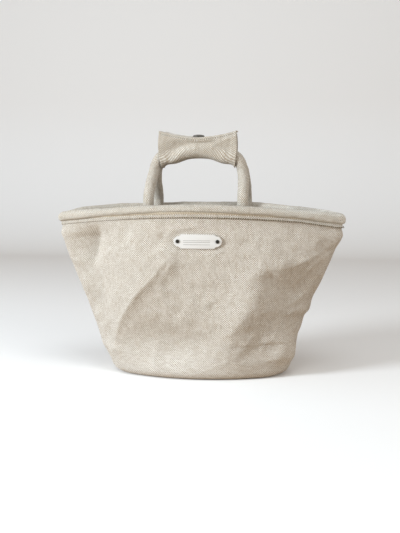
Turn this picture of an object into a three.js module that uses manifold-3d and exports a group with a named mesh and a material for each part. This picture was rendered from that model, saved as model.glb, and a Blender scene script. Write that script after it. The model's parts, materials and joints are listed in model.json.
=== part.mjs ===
// Market bag: a linen bag on a flat oval base, with a corded rim, two tube handles and a snapped grip wrap.
// Millimetres, +Z up, front towards -Y, origin under the middle of the base.

import * as THREE from 'three';
import { mergeVertices } from 'three/addons/utils/BufferGeometryUtils.js';
import Module from 'manifold-3d';

const wasm = await Module();
wasm.setup();

// Driving dimensions of the bag body
const CLEARANCE = 0.3; // gap kept between touching pieces
const BASE_HALF_WIDTH = 131;
const BASE_HALF_DEPTH = 74;
const BASE_END_RADIUS = 58; // plan radius at the two ends of the oval
const MOUTH_HALF_WIDTH = 208;
const MOUTH_HALF_DEPTH = 66;
const MOUTH_END_RADIUS = 12; // the mouth is a lens that is nearly pointed at the side seams
const RIM_LEVEL = 242.5; // height of the rim cord's centre in the middle of the bag
const RIM_DROOP = 15; // how much lower the rim lies at the side seams
const SHOULDER_OUT = 10; // how far the side seams swell outwards just under the rim
const BELLY_OUT = 3; // how far the front and back swell halfway up
const BASE_EDGE_RADIUS = 12;
const PANEL_THICKNESS = 1.8;

// Driving dimensions of the base and seams
const BASE_CLOTH = 1.8;
const BASE_BOARD = 2.5;
const BINDING_THICKNESS = 1.5;
const BASE_BINDING_HEIGHT = 9;
const SEAM_BINDING_WIDTH = 10;
const SEAM_BINDING_THICKNESS = 2.4;

// Driving dimensions of the rim and facing
const RIM_CORD_RADIUS = 6;
const COVER_CLOTH = 1.2; // cloth of the rim cover, facing, handles and wrap
const RIM_STRIP = 5; // height of the stitched strip under the roll
const FACING_HEIGHT = 44;

// Driving dimensions of the handles
const HANDLE_RADIUS = 8;
const HANDLE_FOOT_X = 68;
const HANDLE_RISE = 73; // from the fold at the rim to the crown
const HANDLE_SHOULDER_IN = 14; // how far inside its feet a handle starts to level out
const HANDLE_LEAN_HEIGHT = 50; // height over which a handle leans in from its feet to its crown
const HANDLE_PARTING = 1; // gap between the two handles at the crown
const FOLD_ABOVE_RIM = 4; // height of the handles' fold line over the top of the rim roll
const TAB_HALF_WIDTH = 13;
const TAB_THICKNESS = 5;
const TAB_LENGTH = 34;

// Driving dimensions of the name plate
const PLATE_BAR_LENGTH = 52.4;
const PLATE_HEIGHT = 20;
const PLATE_LENGTH = 68;
const PLATE_THICKNESS = 1.6;
const PLATE_LUG_RADIUS = 7.5;
const PLATE_NOTCH_RADIUS = 2.2;
const PLATE_X = 4; // the plate is set a little right of the middle
const PLATE_DROP = 43.5; // from the rim cord's centre down to the plate's middle
const PIN_SPACING = 56.4;
const PIN_HEAD_RADIUS = 2.7;
const PIN_HEAD_HEIGHT = 1;
const PIN_ROUNDING = 0.4;
const PIN_WELL_RADIUS = 1; // the pins are hollow at the head
const PIN_WELL_DEPTH = 1.4;
const PIN_TAIL_RADIUS = 2.3;
const PIN_TAIL_HEIGHT = 0.6;
const PIN_SHANK_RADIUS = 1.3;
const PIN_HOLE_RADIUS = 1.7;
const PIN_WASHER_RADIUS = 4;
const PIN_WASHER_THICKNESS = 0.8;

// Driving dimensions of the grip wrap and its snap
const WRAP_HALF_LENGTH = 56.5;
const WRAP_EASE = 0.3; // how loosely the wrap lies on the handles
const WRAP_TOP_HALF_DEPTH = 18.5;
const WRAP_SLACK = 10.5; // height of the flap over the handles' crown
const WRAP_SAG = 8.7; // how much lower the wrap's top is in the middle than at its corners
const WRAP_CORNER_RADIUS = 3.5;
const UNDERLAP_EDGE = 10; // how far the underlap reaches forwards of the middle
const FLAP_EDGE = 12; // how far the flap reaches backwards of the middle
const SNAP_X = -3; // the snap sits a little left of the middle
const SNAP_CAP_RADIUS = 8.5;
const SNAP_CAP_HEIGHT = 3.2;
const SNAP_CAP_EDGE = 1; // height of the cap's upright edge
const SNAP_RING_RADIUS = 5.6;
const SNAP_BORE_RADIUS = 3.3;
const SNAP_KNOB_RADIUS = 2.6;
const SNAP_KNOB_HEIGHT = 0.9;
const SNAP_NECK_RADIUS = 2.2;
const SNAP_REACH = 1.7; // how far the knob goes up into the ring
const SNAP_RING_HEIGHT = 2.4;
const SNAP_PLATE_THICKNESS = 0.7;
const SNAP_SHANK_RADIUS = 1.8;
const SNAP_HOLE_RADIUS = 2.1;

// How finely curves are cut
const ARC_STEPS = 16; // across the front or back of the bag
const END_STEPS = 4; // round each side seam
const WALL_STEPS = 10; // up the wall
const EDGE_STEPS = 4; // round the edge of the base
const HANDLE_STEPS = 22;
const HANDLE_SIDES = 10;
const WRAP_STEPS = 10;
const WRAP_BEND_STEPS = 4;
const ROUND_SIDES = 14;
const DOME_STEPS = 3;

const FRONT = -1;
const BACK = 1;
const LEFT = -1;
const RIGHT = 1;

// Sizes that follow from the driving dimensions
const facingOffset = -(PANEL_THICKNESS + CLEARANCE); // outer face of the facing
const coverLegInner = facingOffset - COVER_CLOTH - CLEARANCE; // where the cover's inner leg starts
const coverLegOuter = CLEARANCE; // where the cover's outer leg starts
const rimOffset = (coverLegOuter + coverLegInner) / 2;
const rollRadius = RIM_CORD_RADIUS + CLEARANCE + COVER_CLOTH;
const panelTop = RIM_LEVEL - rollRadius;
const stripBottom = panelTop - RIM_STRIP;
const facingBottom = panelTop - FACING_HEIGHT;
const foldLevel = RIM_LEVEL + rollRadius + FOLD_ABOVE_RIM;
const crownLevel = foldLevel + HANDLE_RISE;
const crownDepth = HANDLE_RADIUS + HANDLE_PARTING / 2;
const plateLevel = RIM_LEVEL - PLATE_DROP;
const baseClothTop = BASE_CLOTH;
const boardBottom = baseClothTop + CLEARANCE;
const boardTop = boardBottom + BASE_BOARD;
const innerBaseBottom = boardTop + CLEARANCE;
const innerBaseTop = innerBaseBottom + COVER_CLOTH;

const linen = { color: 0xd8d0c0, roughness: 0.92, metalness: 0 };
const fineLinen = { color: 0xd2cbb9, roughness: 0.9, metalness: 0 };
const tape = { color: 0xcabfa8, roughness: 0.9, metalness: 0 };
const cotton = { color: 0xe4dfd2, roughness: 0.95, metalness: 0 };
const board = { color: 0xa58e6c, roughness: 0.9, metalness: 0 };
const enamel = { color: 0xecebe6, roughness: 0.35, metalness: 0 };
const steel = { color: 0x9a9a98, roughness: 0.35, metalness: 1 };

const bag = new THREE.Group();

function addPiece(name, geometry, look, parent = bag) {
  const mesh = new THREE.Mesh(geometry, new THREE.MeshStandardMaterial(look));
  mesh.name = name;
  parent.add(mesh);
  return mesh;
}

// Turns a closed surface outwards if its faces point in
function facingOut(geometry) {
  const points = geometry.attributes.position;
  const index = geometry.index.array;
  const a = new THREE.Vector3();
  const b = new THREE.Vector3();
  const c = new THREE.Vector3();
  let volume = 0;
  for (let i = 0; i < index.length; i += 3) {
    a.fromBufferAttribute(points, index[i]);
    b.fromBufferAttribute(points, index[i + 1]);
    c.fromBufferAttribute(points, index[i + 2]);
    volume += a.dot(b.cross(c));
  }
  if (volume < 0) {
    for (let i = 0; i < index.length; i += 3) {
      [index[i], index[i + 1]] = [index[i + 1], index[i]];
    }
  }
  geometry.computeVertexNormals();
  return geometry;
}

// Skins a run of rings that all have the same number of points
function skin(rings, loops, capShape) {
  const count = rings[0].length;
  const points = rings.flat();
  const triangles = [];
  const runs = loops ? rings.length : rings.length - 1;
  for (let r = 0; r < runs; r += 1) {
    const here = r * count;
    const next = ((r + 1) % rings.length) * count;
    for (let i = 0; i < count; i += 1) {
      const j = (i + 1) % count;
      triangles.push(here + i, here + j, next + j);
      triangles.push(here + i, next + j, next + i);
    }
  }
  if (!loops) {
    const last = (rings.length - 1) * count;
    const clockwise = THREE.ShapeUtils.isClockWise(capShape);
    for (const [a, b, c] of THREE.ShapeUtils.triangulateShape(capShape, [])) {
      const [second, third] = clockwise ? [c, b] : [b, c];
      triangles.push(a, third, second);
      triangles.push(last + a, last + second, last + third);
    }
  }
  const geometry = new THREE.BufferGeometry();
  geometry.setAttribute('position', new THREE.Float32BufferAttribute(points.flatMap((p) => p.toArray()), 3));
  geometry.setIndex(triangles);
  return facingOut(geometry);
}

function toSolid(geometry) {
  const bare = geometry.clone();
  bare.deleteAttribute('normal');
  bare.deleteAttribute('uv');
  const merged = mergeVertices(bare, 1e-4);
  return new wasm.Manifold(
    new wasm.Mesh({
      numProp: 3,
      vertProperties: new Float32Array(merged.attributes.position.array),
      triVerts: new Uint32Array(merged.index.array),
    }),
  );
}

function fromSolid(solid) {
  const mesh = solid.getMesh();
  const geometry = new THREE.BufferGeometry();
  geometry.setAttribute('position', new THREE.BufferAttribute(new Float32Array(mesh.vertProperties), 3));
  geometry.setIndex(new THREE.BufferAttribute(new Uint32Array(mesh.triVerts), 1));
  geometry.computeVertexNormals();
  return geometry;
}

function cut(geometry, tools) {
  return fromSolid(tools.reduce((solid, tool) => solid.subtract(toSolid(tool)), toSolid(geometry)));
}

const mix = (from, to, share) => from + (to - from) * share;

// Plan of the bag at one height: two arcs that meet at round ends
function planAt(level) {
  const share = THREE.MathUtils.clamp(level / RIM_LEVEL, 0, 1);
  const halfWidth = mix(BASE_HALF_WIDTH, MOUTH_HALF_WIDTH, share) + SHOULDER_OUT * Math.sin(Math.PI * share ** 3);
  const halfDepth = mix(BASE_HALF_DEPTH, MOUTH_HALF_DEPTH, share) + BELLY_OUT * Math.sin(Math.PI * share);
  const endRadius = mix(BASE_END_RADIUS, MOUTH_END_RADIUS, share);
  const chord = halfWidth - endRadius;
  const rise = halfDepth - endRadius;
  const arcRadius = (chord ** 2 + rise ** 2) / (2 * rise);
  return { halfWidth, endRadius, chord, rise, arcRadius, arcTurn: Math.asin(chord / arcRadius) };
}

// A point of the wall. Turn is the angle of its outward normal from straight forwards or backwards,
// offset is how far it stands outside the panels' outer face.
function wallPoint(side, turn, level, offset) {
  const plan = planAt(level);
  const reach = plan.endRadius + offset;
  const onArc = Math.abs(turn) <= plan.arcTurn;
  const x = onArc
    ? (plan.arcRadius + reach) * Math.sin(turn)
    : Math.sign(turn) * plan.chord + reach * Math.sin(turn);
  const out = onArc
    ? (plan.arcRadius + reach) * Math.cos(turn) - (plan.arcRadius - plan.rise)
    : reach * Math.cos(turn);
  const droop = RIM_DROOP * (level / RIM_LEVEL) ** 2 * (x / MOUTH_HALF_WIDTH) ** 2;
  return new THREE.Vector3(x, side * (out + CLEARANCE / 2), level - droop);
}

// The turns from the left side seam to the right one, close together round the ends
function wallTurns(level) {
  const { arcTurn } = planAt(level);
  const turns = [];
  for (let i = 0; i < END_STEPS; i += 1) turns.push(mix(-Math.PI / 2, -arcTurn, i / END_STEPS));
  for (let i = 0; i <= ARC_STEPS; i += 1) turns.push(mix(-arcTurn, arcTurn, i / ARC_STEPS));
  for (let i = 1; i <= END_STEPS; i += 1) turns.push(mix(arcTurn, Math.PI / 2, i / END_STEPS));
  return turns;
}

// Sweeps a profile of [offset, level] points along one side of the bag, from seam to seam
function sweepSide(side, profile) {
  const columns = profile.map(([, level]) => wallTurns(level));
  const rings = columns[0].map((_, step) =>
    profile.map(([offset, level], i) => wallPoint(side, columns[i][step], level, offset)),
  );
  return skin(rings, false, profile.map(([offset, level]) => new THREE.Vector2(offset, level)));
}

// Sweeps a profile all the way round the bag
function sweepRound(profile) {
  const columns = profile.map(([, level]) => wallTurns(level));
  const steps = columns[0].length;
  const ringAt = (side, step) =>
    profile.map(([offset, level], i) => wallPoint(side, columns[i][step], level, offset));
  const rings = [];
  for (let step = 0; step < steps; step += 1) rings.push(ringAt(FRONT, step));
  for (let step = steps - 1; step >= 0; step -= 1) rings.push(ringAt(BACK, step));
  return skin(rings, true);
}

function arc(centre, radius, from, to, steps) {
  const points = [];
  for (let i = 0; i <= steps; i += 1) {
    const angle = mix(from, to, i / steps);
    points.push([centre[0] + radius * Math.cos(angle), centre[1] + radius * Math.sin(angle)]);
  }
  return points;
}

// The heights at which every piece along the wall bends, with its own bottom and top
function wallLevels(bottom, top) {
  const levels = [bottom];
  for (let i = 1; i < WALL_STEPS; i += 1) {
    const level = mix(BASE_EDGE_RADIUS, panelTop, i / WALL_STEPS);
    if (level > bottom + 1 && level < Math.min(top, stripBottom) - 1) levels.push(level);
  }
  if (top > stripBottom + 1) levels.push(stripBottom);
  return [...levels, top];
}

// The panels: up from the seam under the base, round its edge and up to the rim
function panelProfile() {
  const corner = [-BASE_EDGE_RADIUS, BASE_EDGE_RADIUS];
  const outer = arc(corner, BASE_EDGE_RADIUS, -Math.PI / 2, 0, EDGE_STEPS);
  const inner = arc(corner, BASE_EDGE_RADIUS - PANEL_THICKNESS, -Math.PI / 2, 0, EDGE_STEPS);
  for (const level of wallLevels(BASE_EDGE_RADIUS, panelTop).slice(1)) {
    outer.push([0, level]);
    inner.push([-PANEL_THICKNESS, level]);
  }
  return [...outer, ...inner.reverse()];
}

// The cloth round the rim cord: a strip outside, over the cord and down inside
function rimCoverProfile() {
  const centre = [rimOffset, RIM_LEVEL];
  const steps = 8;
  const halfStep = Math.PI / steps;
  const boreRadius = (RIM_CORD_RADIUS + CLEARANCE) / Math.cos(halfStep);
  const halfSlot = coverLegOuter - rimOffset;
  const outerStart = -Math.acos((halfSlot + COVER_CLOTH) / rollRadius);
  const innerStart = -Math.acos(halfSlot / boreRadius);
  return [
    [coverLegOuter + COVER_CLOTH, stripBottom],
    ...arc(centre, rollRadius, outerStart, Math.PI - outerStart, steps),
    [coverLegInner - COVER_CLOTH, stripBottom],
    [coverLegInner, stripBottom],
    ...arc(centre, boreRadius, Math.PI - innerStart, innerStart, steps),
    [coverLegOuter, stripBottom],
  ];
}

function facingProfile() {
  const inside = facingOffset - COVER_CLOTH;
  const levels = wallLevels(facingBottom, panelTop);
  const outer = levels.map((level) => [facingOffset, level]);
  const inner = levels.map((level) => [inside, level]);
  return [...outer, ...inner.reverse()];
}

// A flat oval that stands inside the wall
function ovalPlate(offset, bottom, thickness) {
  const turns = wallTurns(0);
  const outline = [
    ...turns.map((turn) => wallPoint(FRONT, turn, 0, offset)),
    ...turns.map((turn) => wallPoint(BACK, turn, 0, offset)).reverse(),
  ];
  const shape = new THREE.Shape(outline.map((p) => new THREE.Vector2(p.x, p.y)));
  const geometry = new THREE.ExtrudeGeometry(shape, { depth: thickness, bevelEnabled: false });
  return geometry.translate(0, 0, bottom);
}

// The inner face of the panels round the base's edge, as an offset from their outer face
function innerFaceAt(level) {
  const below = Math.max(BASE_EDGE_RADIUS - level, 0);
  const radius = BASE_EDGE_RADIUS - PANEL_THICKNESS;
  return Math.sqrt(radius ** 2 - below ** 2) - BASE_EDGE_RADIUS;
}

// The bound allowance of a side seam: a flat tongue that follows the seam inside the bag
function seamBinding(side) {
  const bottom = innerBaseTop + BASE_BINDING_HEIGHT + CLEARANCE;
  const top = facingBottom - CLEARANCE;
  const half = SEAM_BINDING_THICKNESS / 2;
  const rings = [];
  for (const level of wallLevels(bottom, top)) {
    const seam = wallPoint(FRONT, Math.PI / 2, level, facingOffset);
    const outer = seam.x - turnedAway(half, level);
    const inner = outer - SEAM_BINDING_WIDTH;
    rings.push([
      new THREE.Vector3(side * outer, -half, seam.z),
      new THREE.Vector3(side * outer, half, seam.z),
      new THREE.Vector3(side * inner, half, seam.z),
      new THREE.Vector3(side * inner, -half, seam.z),
    ]);
  }
  const cap = [[0, -half], [0, half], [1, half], [1, -half]].map(([x, y]) => new THREE.Vector2(x, y));
  return skin(rings, false, cap);
}

// How far the round end of the bag has turned away at a half thickness beside the seam
function turnedAway(half, level) {
  const radius = planAt(level).endRadius + facingOffset;
  return radius - Math.sqrt(radius ** 2 - half ** 2);
}

function buildBody() {
  addPiece('front_panel', pierced(sweepSide(FRONT, panelProfile())), linen);
  addPiece('back_panel', sweepSide(BACK, panelProfile()), linen);
  const seamOffset = -BASE_EDGE_RADIUS - CLEARANCE;
  addPiece('base_panel', ovalPlate(seamOffset, 0, BASE_CLOTH), linen);
  addPiece('base_board', ovalPlate(seamOffset, boardBottom, BASE_BOARD), board);
  const innerBaseOffset = innerFaceAt(innerBaseBottom) - CLEARANCE;
  addPiece('inner_base', ovalPlate(innerBaseOffset, innerBaseBottom, COVER_CLOTH), linen);
  const bindingBottom = innerBaseTop + CLEARANCE;
  const bindingTop = bindingBottom + BASE_BINDING_HEIGHT;
  const bindingFoot = innerFaceAt(bindingBottom) - CLEARANCE;
  const bindingProfile = [
    [bindingFoot, bindingBottom],
    [facingOffset, bindingTop],
    [facingOffset - BINDING_THICKNESS, bindingTop],
    [bindingFoot - BINDING_THICKNESS, bindingBottom],
  ];
  addPiece('base_seam_binding', sweepRound(bindingProfile), tape);
  addPiece('left_seam_binding', seamBinding(LEFT), tape);
  addPiece('right_seam_binding', seamBinding(RIGHT), tape);
}

function buildRim() {
  const cordSides = 8;
  const cordProfile = arc([rimOffset, RIM_LEVEL], RIM_CORD_RADIUS, 0, 2 * Math.PI, cordSides).slice(0, -1);
  addPiece('rim_cord', sweepRound(cordProfile), cotton);
  addPiece('front_rim_cover', sweepSide(FRONT, rimCoverProfile()), fineLinen);
  addPiece('back_rim_cover', sweepSide(BACK, rimCoverProfile()), fineLinen);
  addPiece('front_facing', pierced(sweepSide(FRONT, facingProfile())), linen);
  addPiece('back_facing', sweepSide(BACK, facingProfile()), linen);
}

// The turn of the wall's normal where the wall passes a given x
function turnAt(x, level, offset) {
  const plan = planAt(level);
  return Math.asin(x / (plan.arcRadius + plan.endRadius + offset));
}

function wallAt(side, x, level, offset) {
  return wallPoint(side, turnAt(x, level, offset), level, offset);
}

// How far forwards or backwards of the middle the handles' feet stand: just inside the rim roll
function footDepth() {
  const inside = rimOffset - rollRadius;
  const roll = wallAt(BACK, HANDLE_FOOT_X, RIM_LEVEL, inside);
  return roll.y - (HANDLE_RADIUS + CLEARANCE) / Math.cos(turnAt(HANDLE_FOOT_X, RIM_LEVEL, inside));
}

const ease = (share) => share * share * (3 - 2 * share);

// Centre line of a handle: straight up from its feet, leaning in to meet the other handle at the crown
class HandleCurve extends THREE.Curve {
  constructor(side) {
    super();
    this.side = side;
    const shoulderX = HANDLE_FOOT_X - HANDLE_SHOULDER_IN;
    const footZ = foldLevel + CLEARANCE / 2;
    this.half = new THREE.CubicBezierCurve(
      new THREE.Vector2(HANDLE_FOOT_X, footZ),
      new THREE.Vector2(HANDLE_FOOT_X, crownLevel),
      new THREE.Vector2(shoulderX, crownLevel),
      new THREE.Vector2(0, crownLevel),
    );
  }

  getPoint(t, target = new THREE.Vector3()) {
    const direction = t < 0.5 ? LEFT : RIGHT;
    const flat = this.half.getPoint(1 - Math.abs(2 * t - 1));
    const share = Math.min((flat.y - foldLevel) / HANDLE_LEAN_HEIGHT, 1);
    const depth = mix(footDepth(), crownDepth, ease(share));
    return target.set(direction * flat.x, this.side * depth, flat.y);
  }
}

// Where the right half of a handle passes a given x, on its centre line moved inwards by a radius
function handleAt(curve, x, inwards) {
  let low = 0.5;
  let high = 1;
  let here = null;
  const steps = 40;
  for (let i = 0; i < steps; i += 1) {
    const t = (low + high) / 2;
    const tangent = curve.getTangent(t);
    const slant = Math.hypot(tangent.x, tangent.z);
    here = curve.getPoint(t);
    here.x += (inwards * tangent.z) / slant;
    here.z -= (inwards * tangent.x) / slant;
    if (here.x < Math.abs(x)) low = t;
    else high = t;
  }
  return here;
}

function tubeAlong(curve, radius, boreRadius) {
  const section = new THREE.Shape().setFromPoints(circlePoints(radius, HANDLE_SIDES));
  if (boreRadius > 0) {
    section.holes.push(new THREE.Path().setFromPoints(circlePoints(boreRadius, HANDLE_SIDES)));
  }
  return new THREE.ExtrudeGeometry(section, { steps: HANDLE_STEPS, extrudePath: curve, bevelEnabled: false });
}

function circlePoints(radius, sides) {
  return arc([0, 0], radius, 0, 2 * Math.PI, sides).slice(0, -1).map(([x, y]) => new THREE.Vector2(x, y));
}

// The sewn end of a handle: round at the fold, flattening under the rim roll to a tab on the facing
function handleEnd(side, direction) {
  const rimHere = wallAt(BACK, HANDLE_FOOT_X, RIM_LEVEL, rimOffset).z;
  const droop = RIM_LEVEL - rimHere;
  const stripHere = stripBottom - droop;
  const top = foldLevel - CLEARANCE / 2;
  const flatOffset = coverLegInner - COVER_CLOTH - CLEARANCE - TAB_THICKNESS / 2;
  const steps = 8;
  const rings = [];
  for (let i = 0; i <= steps; i += 1) {
    const z = mix(top, stripHere - TAB_LENGTH, i / steps);
    const flatness = ease(THREE.MathUtils.clamp((rimHere - z) / (rimHere - stripHere), 0, 1));
    const ring = circlePoints(1, HANDLE_SIDES).map(({ x, y }) => {
      const roundX = direction * HANDLE_FOOT_X + HANDLE_RADIUS * x;
      const roundY = side * (footDepth() + HANDLE_RADIUS * y);
      const tabX = direction * HANDLE_FOOT_X + TAB_HALF_WIDTH * x;
      const flat = wallAt(side, tabX, z + droop, flatOffset + (TAB_THICKNESS / 2) * y);
      return new THREE.Vector3(mix(roundX, flat.x, flatness), mix(roundY, flat.y, flatness), z);
    });
    rings.push(ring);
  }
  return skin(rings, false, circlePoints(1, HANDLE_SIDES));
}

function buildHandles() {
  const coreRadius = HANDLE_RADIUS - COVER_CLOTH - CLEARANCE;
  for (const [side, name] of [[FRONT, 'front'], [BACK, 'back']]) {
    const curve = new HandleCurve(side);
    const boreRadius = HANDLE_RADIUS - COVER_CLOTH;
    addPiece(`${name}_handle_cover`, tubeAlong(curve, HANDLE_RADIUS, boreRadius), fineLinen);
    addPiece(`${name}_handle_cord`, tubeAlong(curve, coreRadius, 0), cotton);
    addPiece(`${name}_left_handle_end`, handleEnd(side, LEFT), fineLinen);
    addPiece(`${name}_right_handle_end`, handleEnd(side, RIGHT), fineLinen);
  }
}

// The plate's outline: a bar with hollow corners and a round lug at each end
function plateOutline() {
  const top = PLATE_HEIGHT / 2;
  const notchX = PLATE_BAR_LENGTH / 2;
  const notchY = top - PLATE_NOTCH_RADIUS;
  const lugX = PLATE_LENGTH / 2 - PLATE_LUG_RADIUS;
  const shape = new THREE.Shape();
  const lugTurn = Math.asin(notchY / (PLATE_LUG_RADIUS + CLEARANCE));
  shape.moveTo(-notchX + PLATE_NOTCH_RADIUS, -top);
  shape.lineTo(notchX - PLATE_NOTCH_RADIUS, -top);
  shape.absarc(notchX, -top, PLATE_NOTCH_RADIUS, Math.PI, Math.PI / 2, true);
  shape.absarc(lugX, 0, PLATE_LUG_RADIUS, -lugTurn, lugTurn, false);
  shape.absarc(notchX, top, PLATE_NOTCH_RADIUS, -Math.PI / 2, -Math.PI, true);
  shape.lineTo(-notchX + PLATE_NOTCH_RADIUS, top);
  shape.absarc(-notchX, top, PLATE_NOTCH_RADIUS, 0, -Math.PI / 2, true);
  shape.absarc(-lugX, 0, PLATE_LUG_RADIUS, Math.PI - lugTurn, Math.PI + lugTurn, false);
  shape.absarc(-notchX, -top, PLATE_NOTCH_RADIUS, Math.PI / 2, 0, true);
  return shape;
}

// The frame of a piece that lies on the front of the bag: its x to the right, its z outwards
function frameOnFront(x, offset) {
  const here = wallAt(FRONT, x, plateLevel, offset);
  const above = wallAt(FRONT, x, plateLevel + 1, offset);
  const beside = wallAt(FRONT, x + 1, plateLevel, offset);
  const right = beside.sub(here).normalize();
  const up = above.sub(here).normalize();
  const out = new THREE.Vector3().crossVectors(right, up).normalize();
  up.crossVectors(out, right);
  return new THREE.Matrix4().makeBasis(right, up, out).setPosition(here);
}

const pinX = PIN_SPACING / 2;
const plateFrame = frameOnFront(PLATE_X, CLEARANCE);

// How far behind the flat plate's back the curved wall lies at the pins
function behindPlate(offset) {
  const onWall = wallAt(FRONT, PLATE_X + pinX, plateLevel, offset);
  return onWall.applyMatrix4(plateFrame.clone().invert()).z;
}

function pinTool(side) {
  const depth = 4 * (PLATE_THICKNESS + PANEL_THICKNESS + COVER_CLOTH);
  const tool = new THREE.CylinderGeometry(PIN_HOLE_RADIUS, PIN_HOLE_RADIUS, depth, ROUND_SIDES);
  tool.rotateX(Math.PI / 2).translate(side * pinX, 0, 0);
  return tool.applyMatrix4(plateFrame);
}

// Bores the two pin holes
function pierced(geometry) {
  return cut(geometry, [pinTool(LEFT), pinTool(RIGHT)]);
}

function lathe(profile) {
  return facingOut(new THREE.LatheGeometry(profile.map(([x, y]) => new THREE.Vector2(x, y)), ROUND_SIDES));
}

// Profile of a low dome, from its rim in to its middle
function domeProfile(radius, height, level) {
  const points = [];
  for (let i = 0; i < DOME_STEPS; i += 1) {
    const turn = ((Math.PI / 2) * i) / DOME_STEPS;
    points.push([radius * Math.cos(turn), level + height * Math.sin(turn)]);
  }
  return [...points, [0, level + height]];
}

// A hollow rivet: ring head, shank through plate and cloth, turned over behind the washer
function platePin() {
  const head = PLATE_THICKNESS + CLEARANCE;
  const headTop = head + PIN_HEAD_HEIGHT;
  const tail = behindPlate(washerOffset) - 2 * CLEARANCE;
  return lathe([
    [0, headTop - PIN_WELL_DEPTH],
    [PIN_WELL_RADIUS, headTop - PIN_WELL_DEPTH],
    [PIN_WELL_RADIUS, headTop - PIN_ROUNDING],
    [PIN_WELL_RADIUS + PIN_ROUNDING, headTop],
    [PIN_HEAD_RADIUS - PIN_ROUNDING, headTop],
    [PIN_HEAD_RADIUS, headTop - PIN_ROUNDING],
    [PIN_HEAD_RADIUS, head],
    [PIN_SHANK_RADIUS, head],
    [PIN_SHANK_RADIUS, tail],
    [PIN_TAIL_RADIUS, tail],
    [PIN_TAIL_RADIUS, tail - PIN_TAIL_HEIGHT],
    [0, tail - PIN_TAIL_HEIGHT],
  ]).rotateX(Math.PI / 2);
}

function washer(outerRadius, innerRadius, thickness) {
  const ring = new THREE.Shape().absarc(0, 0, outerRadius, 0, 2 * Math.PI, false);
  ring.holes.push(new THREE.Path().absarc(0, 0, innerRadius, 0, 2 * Math.PI, true));
  return new THREE.ExtrudeGeometry(ring, { depth: thickness, bevelEnabled: false, curveSegments: ROUND_SIDES / 2 });
}

const washerOffset = coverLegInner - PIN_WASHER_THICKNESS;

function buildPlate() {
  const plate = new THREE.Group();
  plate.applyMatrix4(plateFrame);
  bag.add(plate);
  const outline = plateOutline();
  for (const side of [LEFT, RIGHT]) {
    outline.holes.push(new THREE.Path().absarc(side * pinX, 0, PIN_HOLE_RADIUS, 0, 2 * Math.PI, true));
  }
  const slab = new THREE.ExtrudeGeometry(outline, {
    depth: PLATE_THICKNESS,
    bevelEnabled: false,
    curveSegments: 5,
  });
  addPiece('name_plate', slab, enamel, plate);
  for (const [side, name] of [[LEFT, 'left'], [RIGHT, 'right']]) {
    addPiece(`${name}_plate_pin`, platePin(), steel, plate).position.x = side * pinX;
    const ring = washer(PIN_WASHER_RADIUS, PIN_HOLE_RADIUS, PIN_WASHER_THICKNESS);
    addPiece(`${name}_pin_washer`, ring.applyMatrix4(frameOnFront(PLATE_X + side * pinX, washerOffset)), steel);
  }
}

// Heights of the wrap's two closing edges at a given x
function wrapTop(x) {
  return crownLevel + HANDLE_RADIUS + WRAP_SLACK + WRAP_SAG * (x / WRAP_HALF_LENGTH) ** 2;
}

const snapStack = CLEARANCE * 3 + SNAP_PLATE_THICKNESS + SNAP_RING_HEIGHT;
const underlapTop = (x) => wrapTop(x) - snapStack;

// How much the flap's top rises from its middle to the far edge of the snap cap
const capLift = wrapTop(Math.abs(SNAP_X) + SNAP_CAP_RADIUS) - wrapTop(0);

// A thin sheet's section from the line along its middle, as a closed ring of [y, z] points
function sheetSection(line) {
  const outer = [];
  const inner = [];
  const half = COVER_CLOTH / 2;
  line.forEach(([y, z], i) => {
    const before = line[Math.max(i - 1, 0)];
    const after = line[Math.min(i + 1, line.length - 1)];
    const along = new THREE.Vector2(after[0] - before[0], after[1] - before[1]).normalize();
    outer.push([y - along.y * half, z + along.x * half]);
    inner.push([y + along.y * half, z - along.x * half]);
  });
  return [...outer, ...inner.reverse()];
}

function sheetAlongX(lineAt) {
  const rings = [];
  let cap = [];
  for (let i = 0; i <= WRAP_STEPS; i += 1) {
    const x = mix(-WRAP_HALF_LENGTH, WRAP_HALF_LENGTH, i / WRAP_STEPS);
    const section = sheetSection(lineAt(x));
    if (i === 0) cap = section.map(([y, z]) => new THREE.Vector2(y, z));
    rings.push(section.map(([y, z]) => new THREE.Vector3(x, y, z)));
  }
  return skin(rings, false, cap);
}

// The grip cloth round both handles, from the front wall's top edge to the underlap's free edge
function wrapLine(x) {
  const curve = new HandleCurve(BACK);
  const acrossRadius = HANDLE_RADIUS + CLEARANCE + WRAP_EASE + COVER_CLOTH / 2;
  const underside = handleAt(curve, x, acrossRadius);
  const depth = underside.y;
  const level = handleAt(curve, x, 0).z;
  const downRadius = level - underside.z;
  const underTube = (side, from, to) =>
    arc([0, 0], 1, from, to, WRAP_BEND_STEPS).map(([y, z]) => [
      side * depth + acrossRadius * y,
      level + downRadius * z,
    ]);
  const top = underlapTop(x) - COVER_CLOTH / 2;
  const frontTop = wrapTop(x) - CLEARANCE - COVER_CLOTH / 2;
  const corner = [WRAP_TOP_HALF_DEPTH - WRAP_CORNER_RADIUS, top - WRAP_CORNER_RADIUS];
  return [
    [-WRAP_TOP_HALF_DEPTH, frontTop],
    ...underTube(FRONT, Math.PI, 1.5 * Math.PI),
    ...underTube(BACK, 1.5 * Math.PI, 2 * Math.PI),
    ...arc(corner, WRAP_CORNER_RADIUS, 0, Math.PI / 2, WRAP_BEND_STEPS),
    [0, top],
    [-UNDERLAP_EDGE, top],
  ];
}

function flapLine(x) {
  const level = wrapTop(x) + COVER_CLOTH / 2;
  return [
    [-WRAP_TOP_HALF_DEPTH, level],
    [0, level],
    [FLAP_EDGE, level],
  ];
}

function upright(geometry, level) {
  return geometry.rotateX(Math.PI / 2).translate(SNAP_X, 0, level);
}

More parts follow.
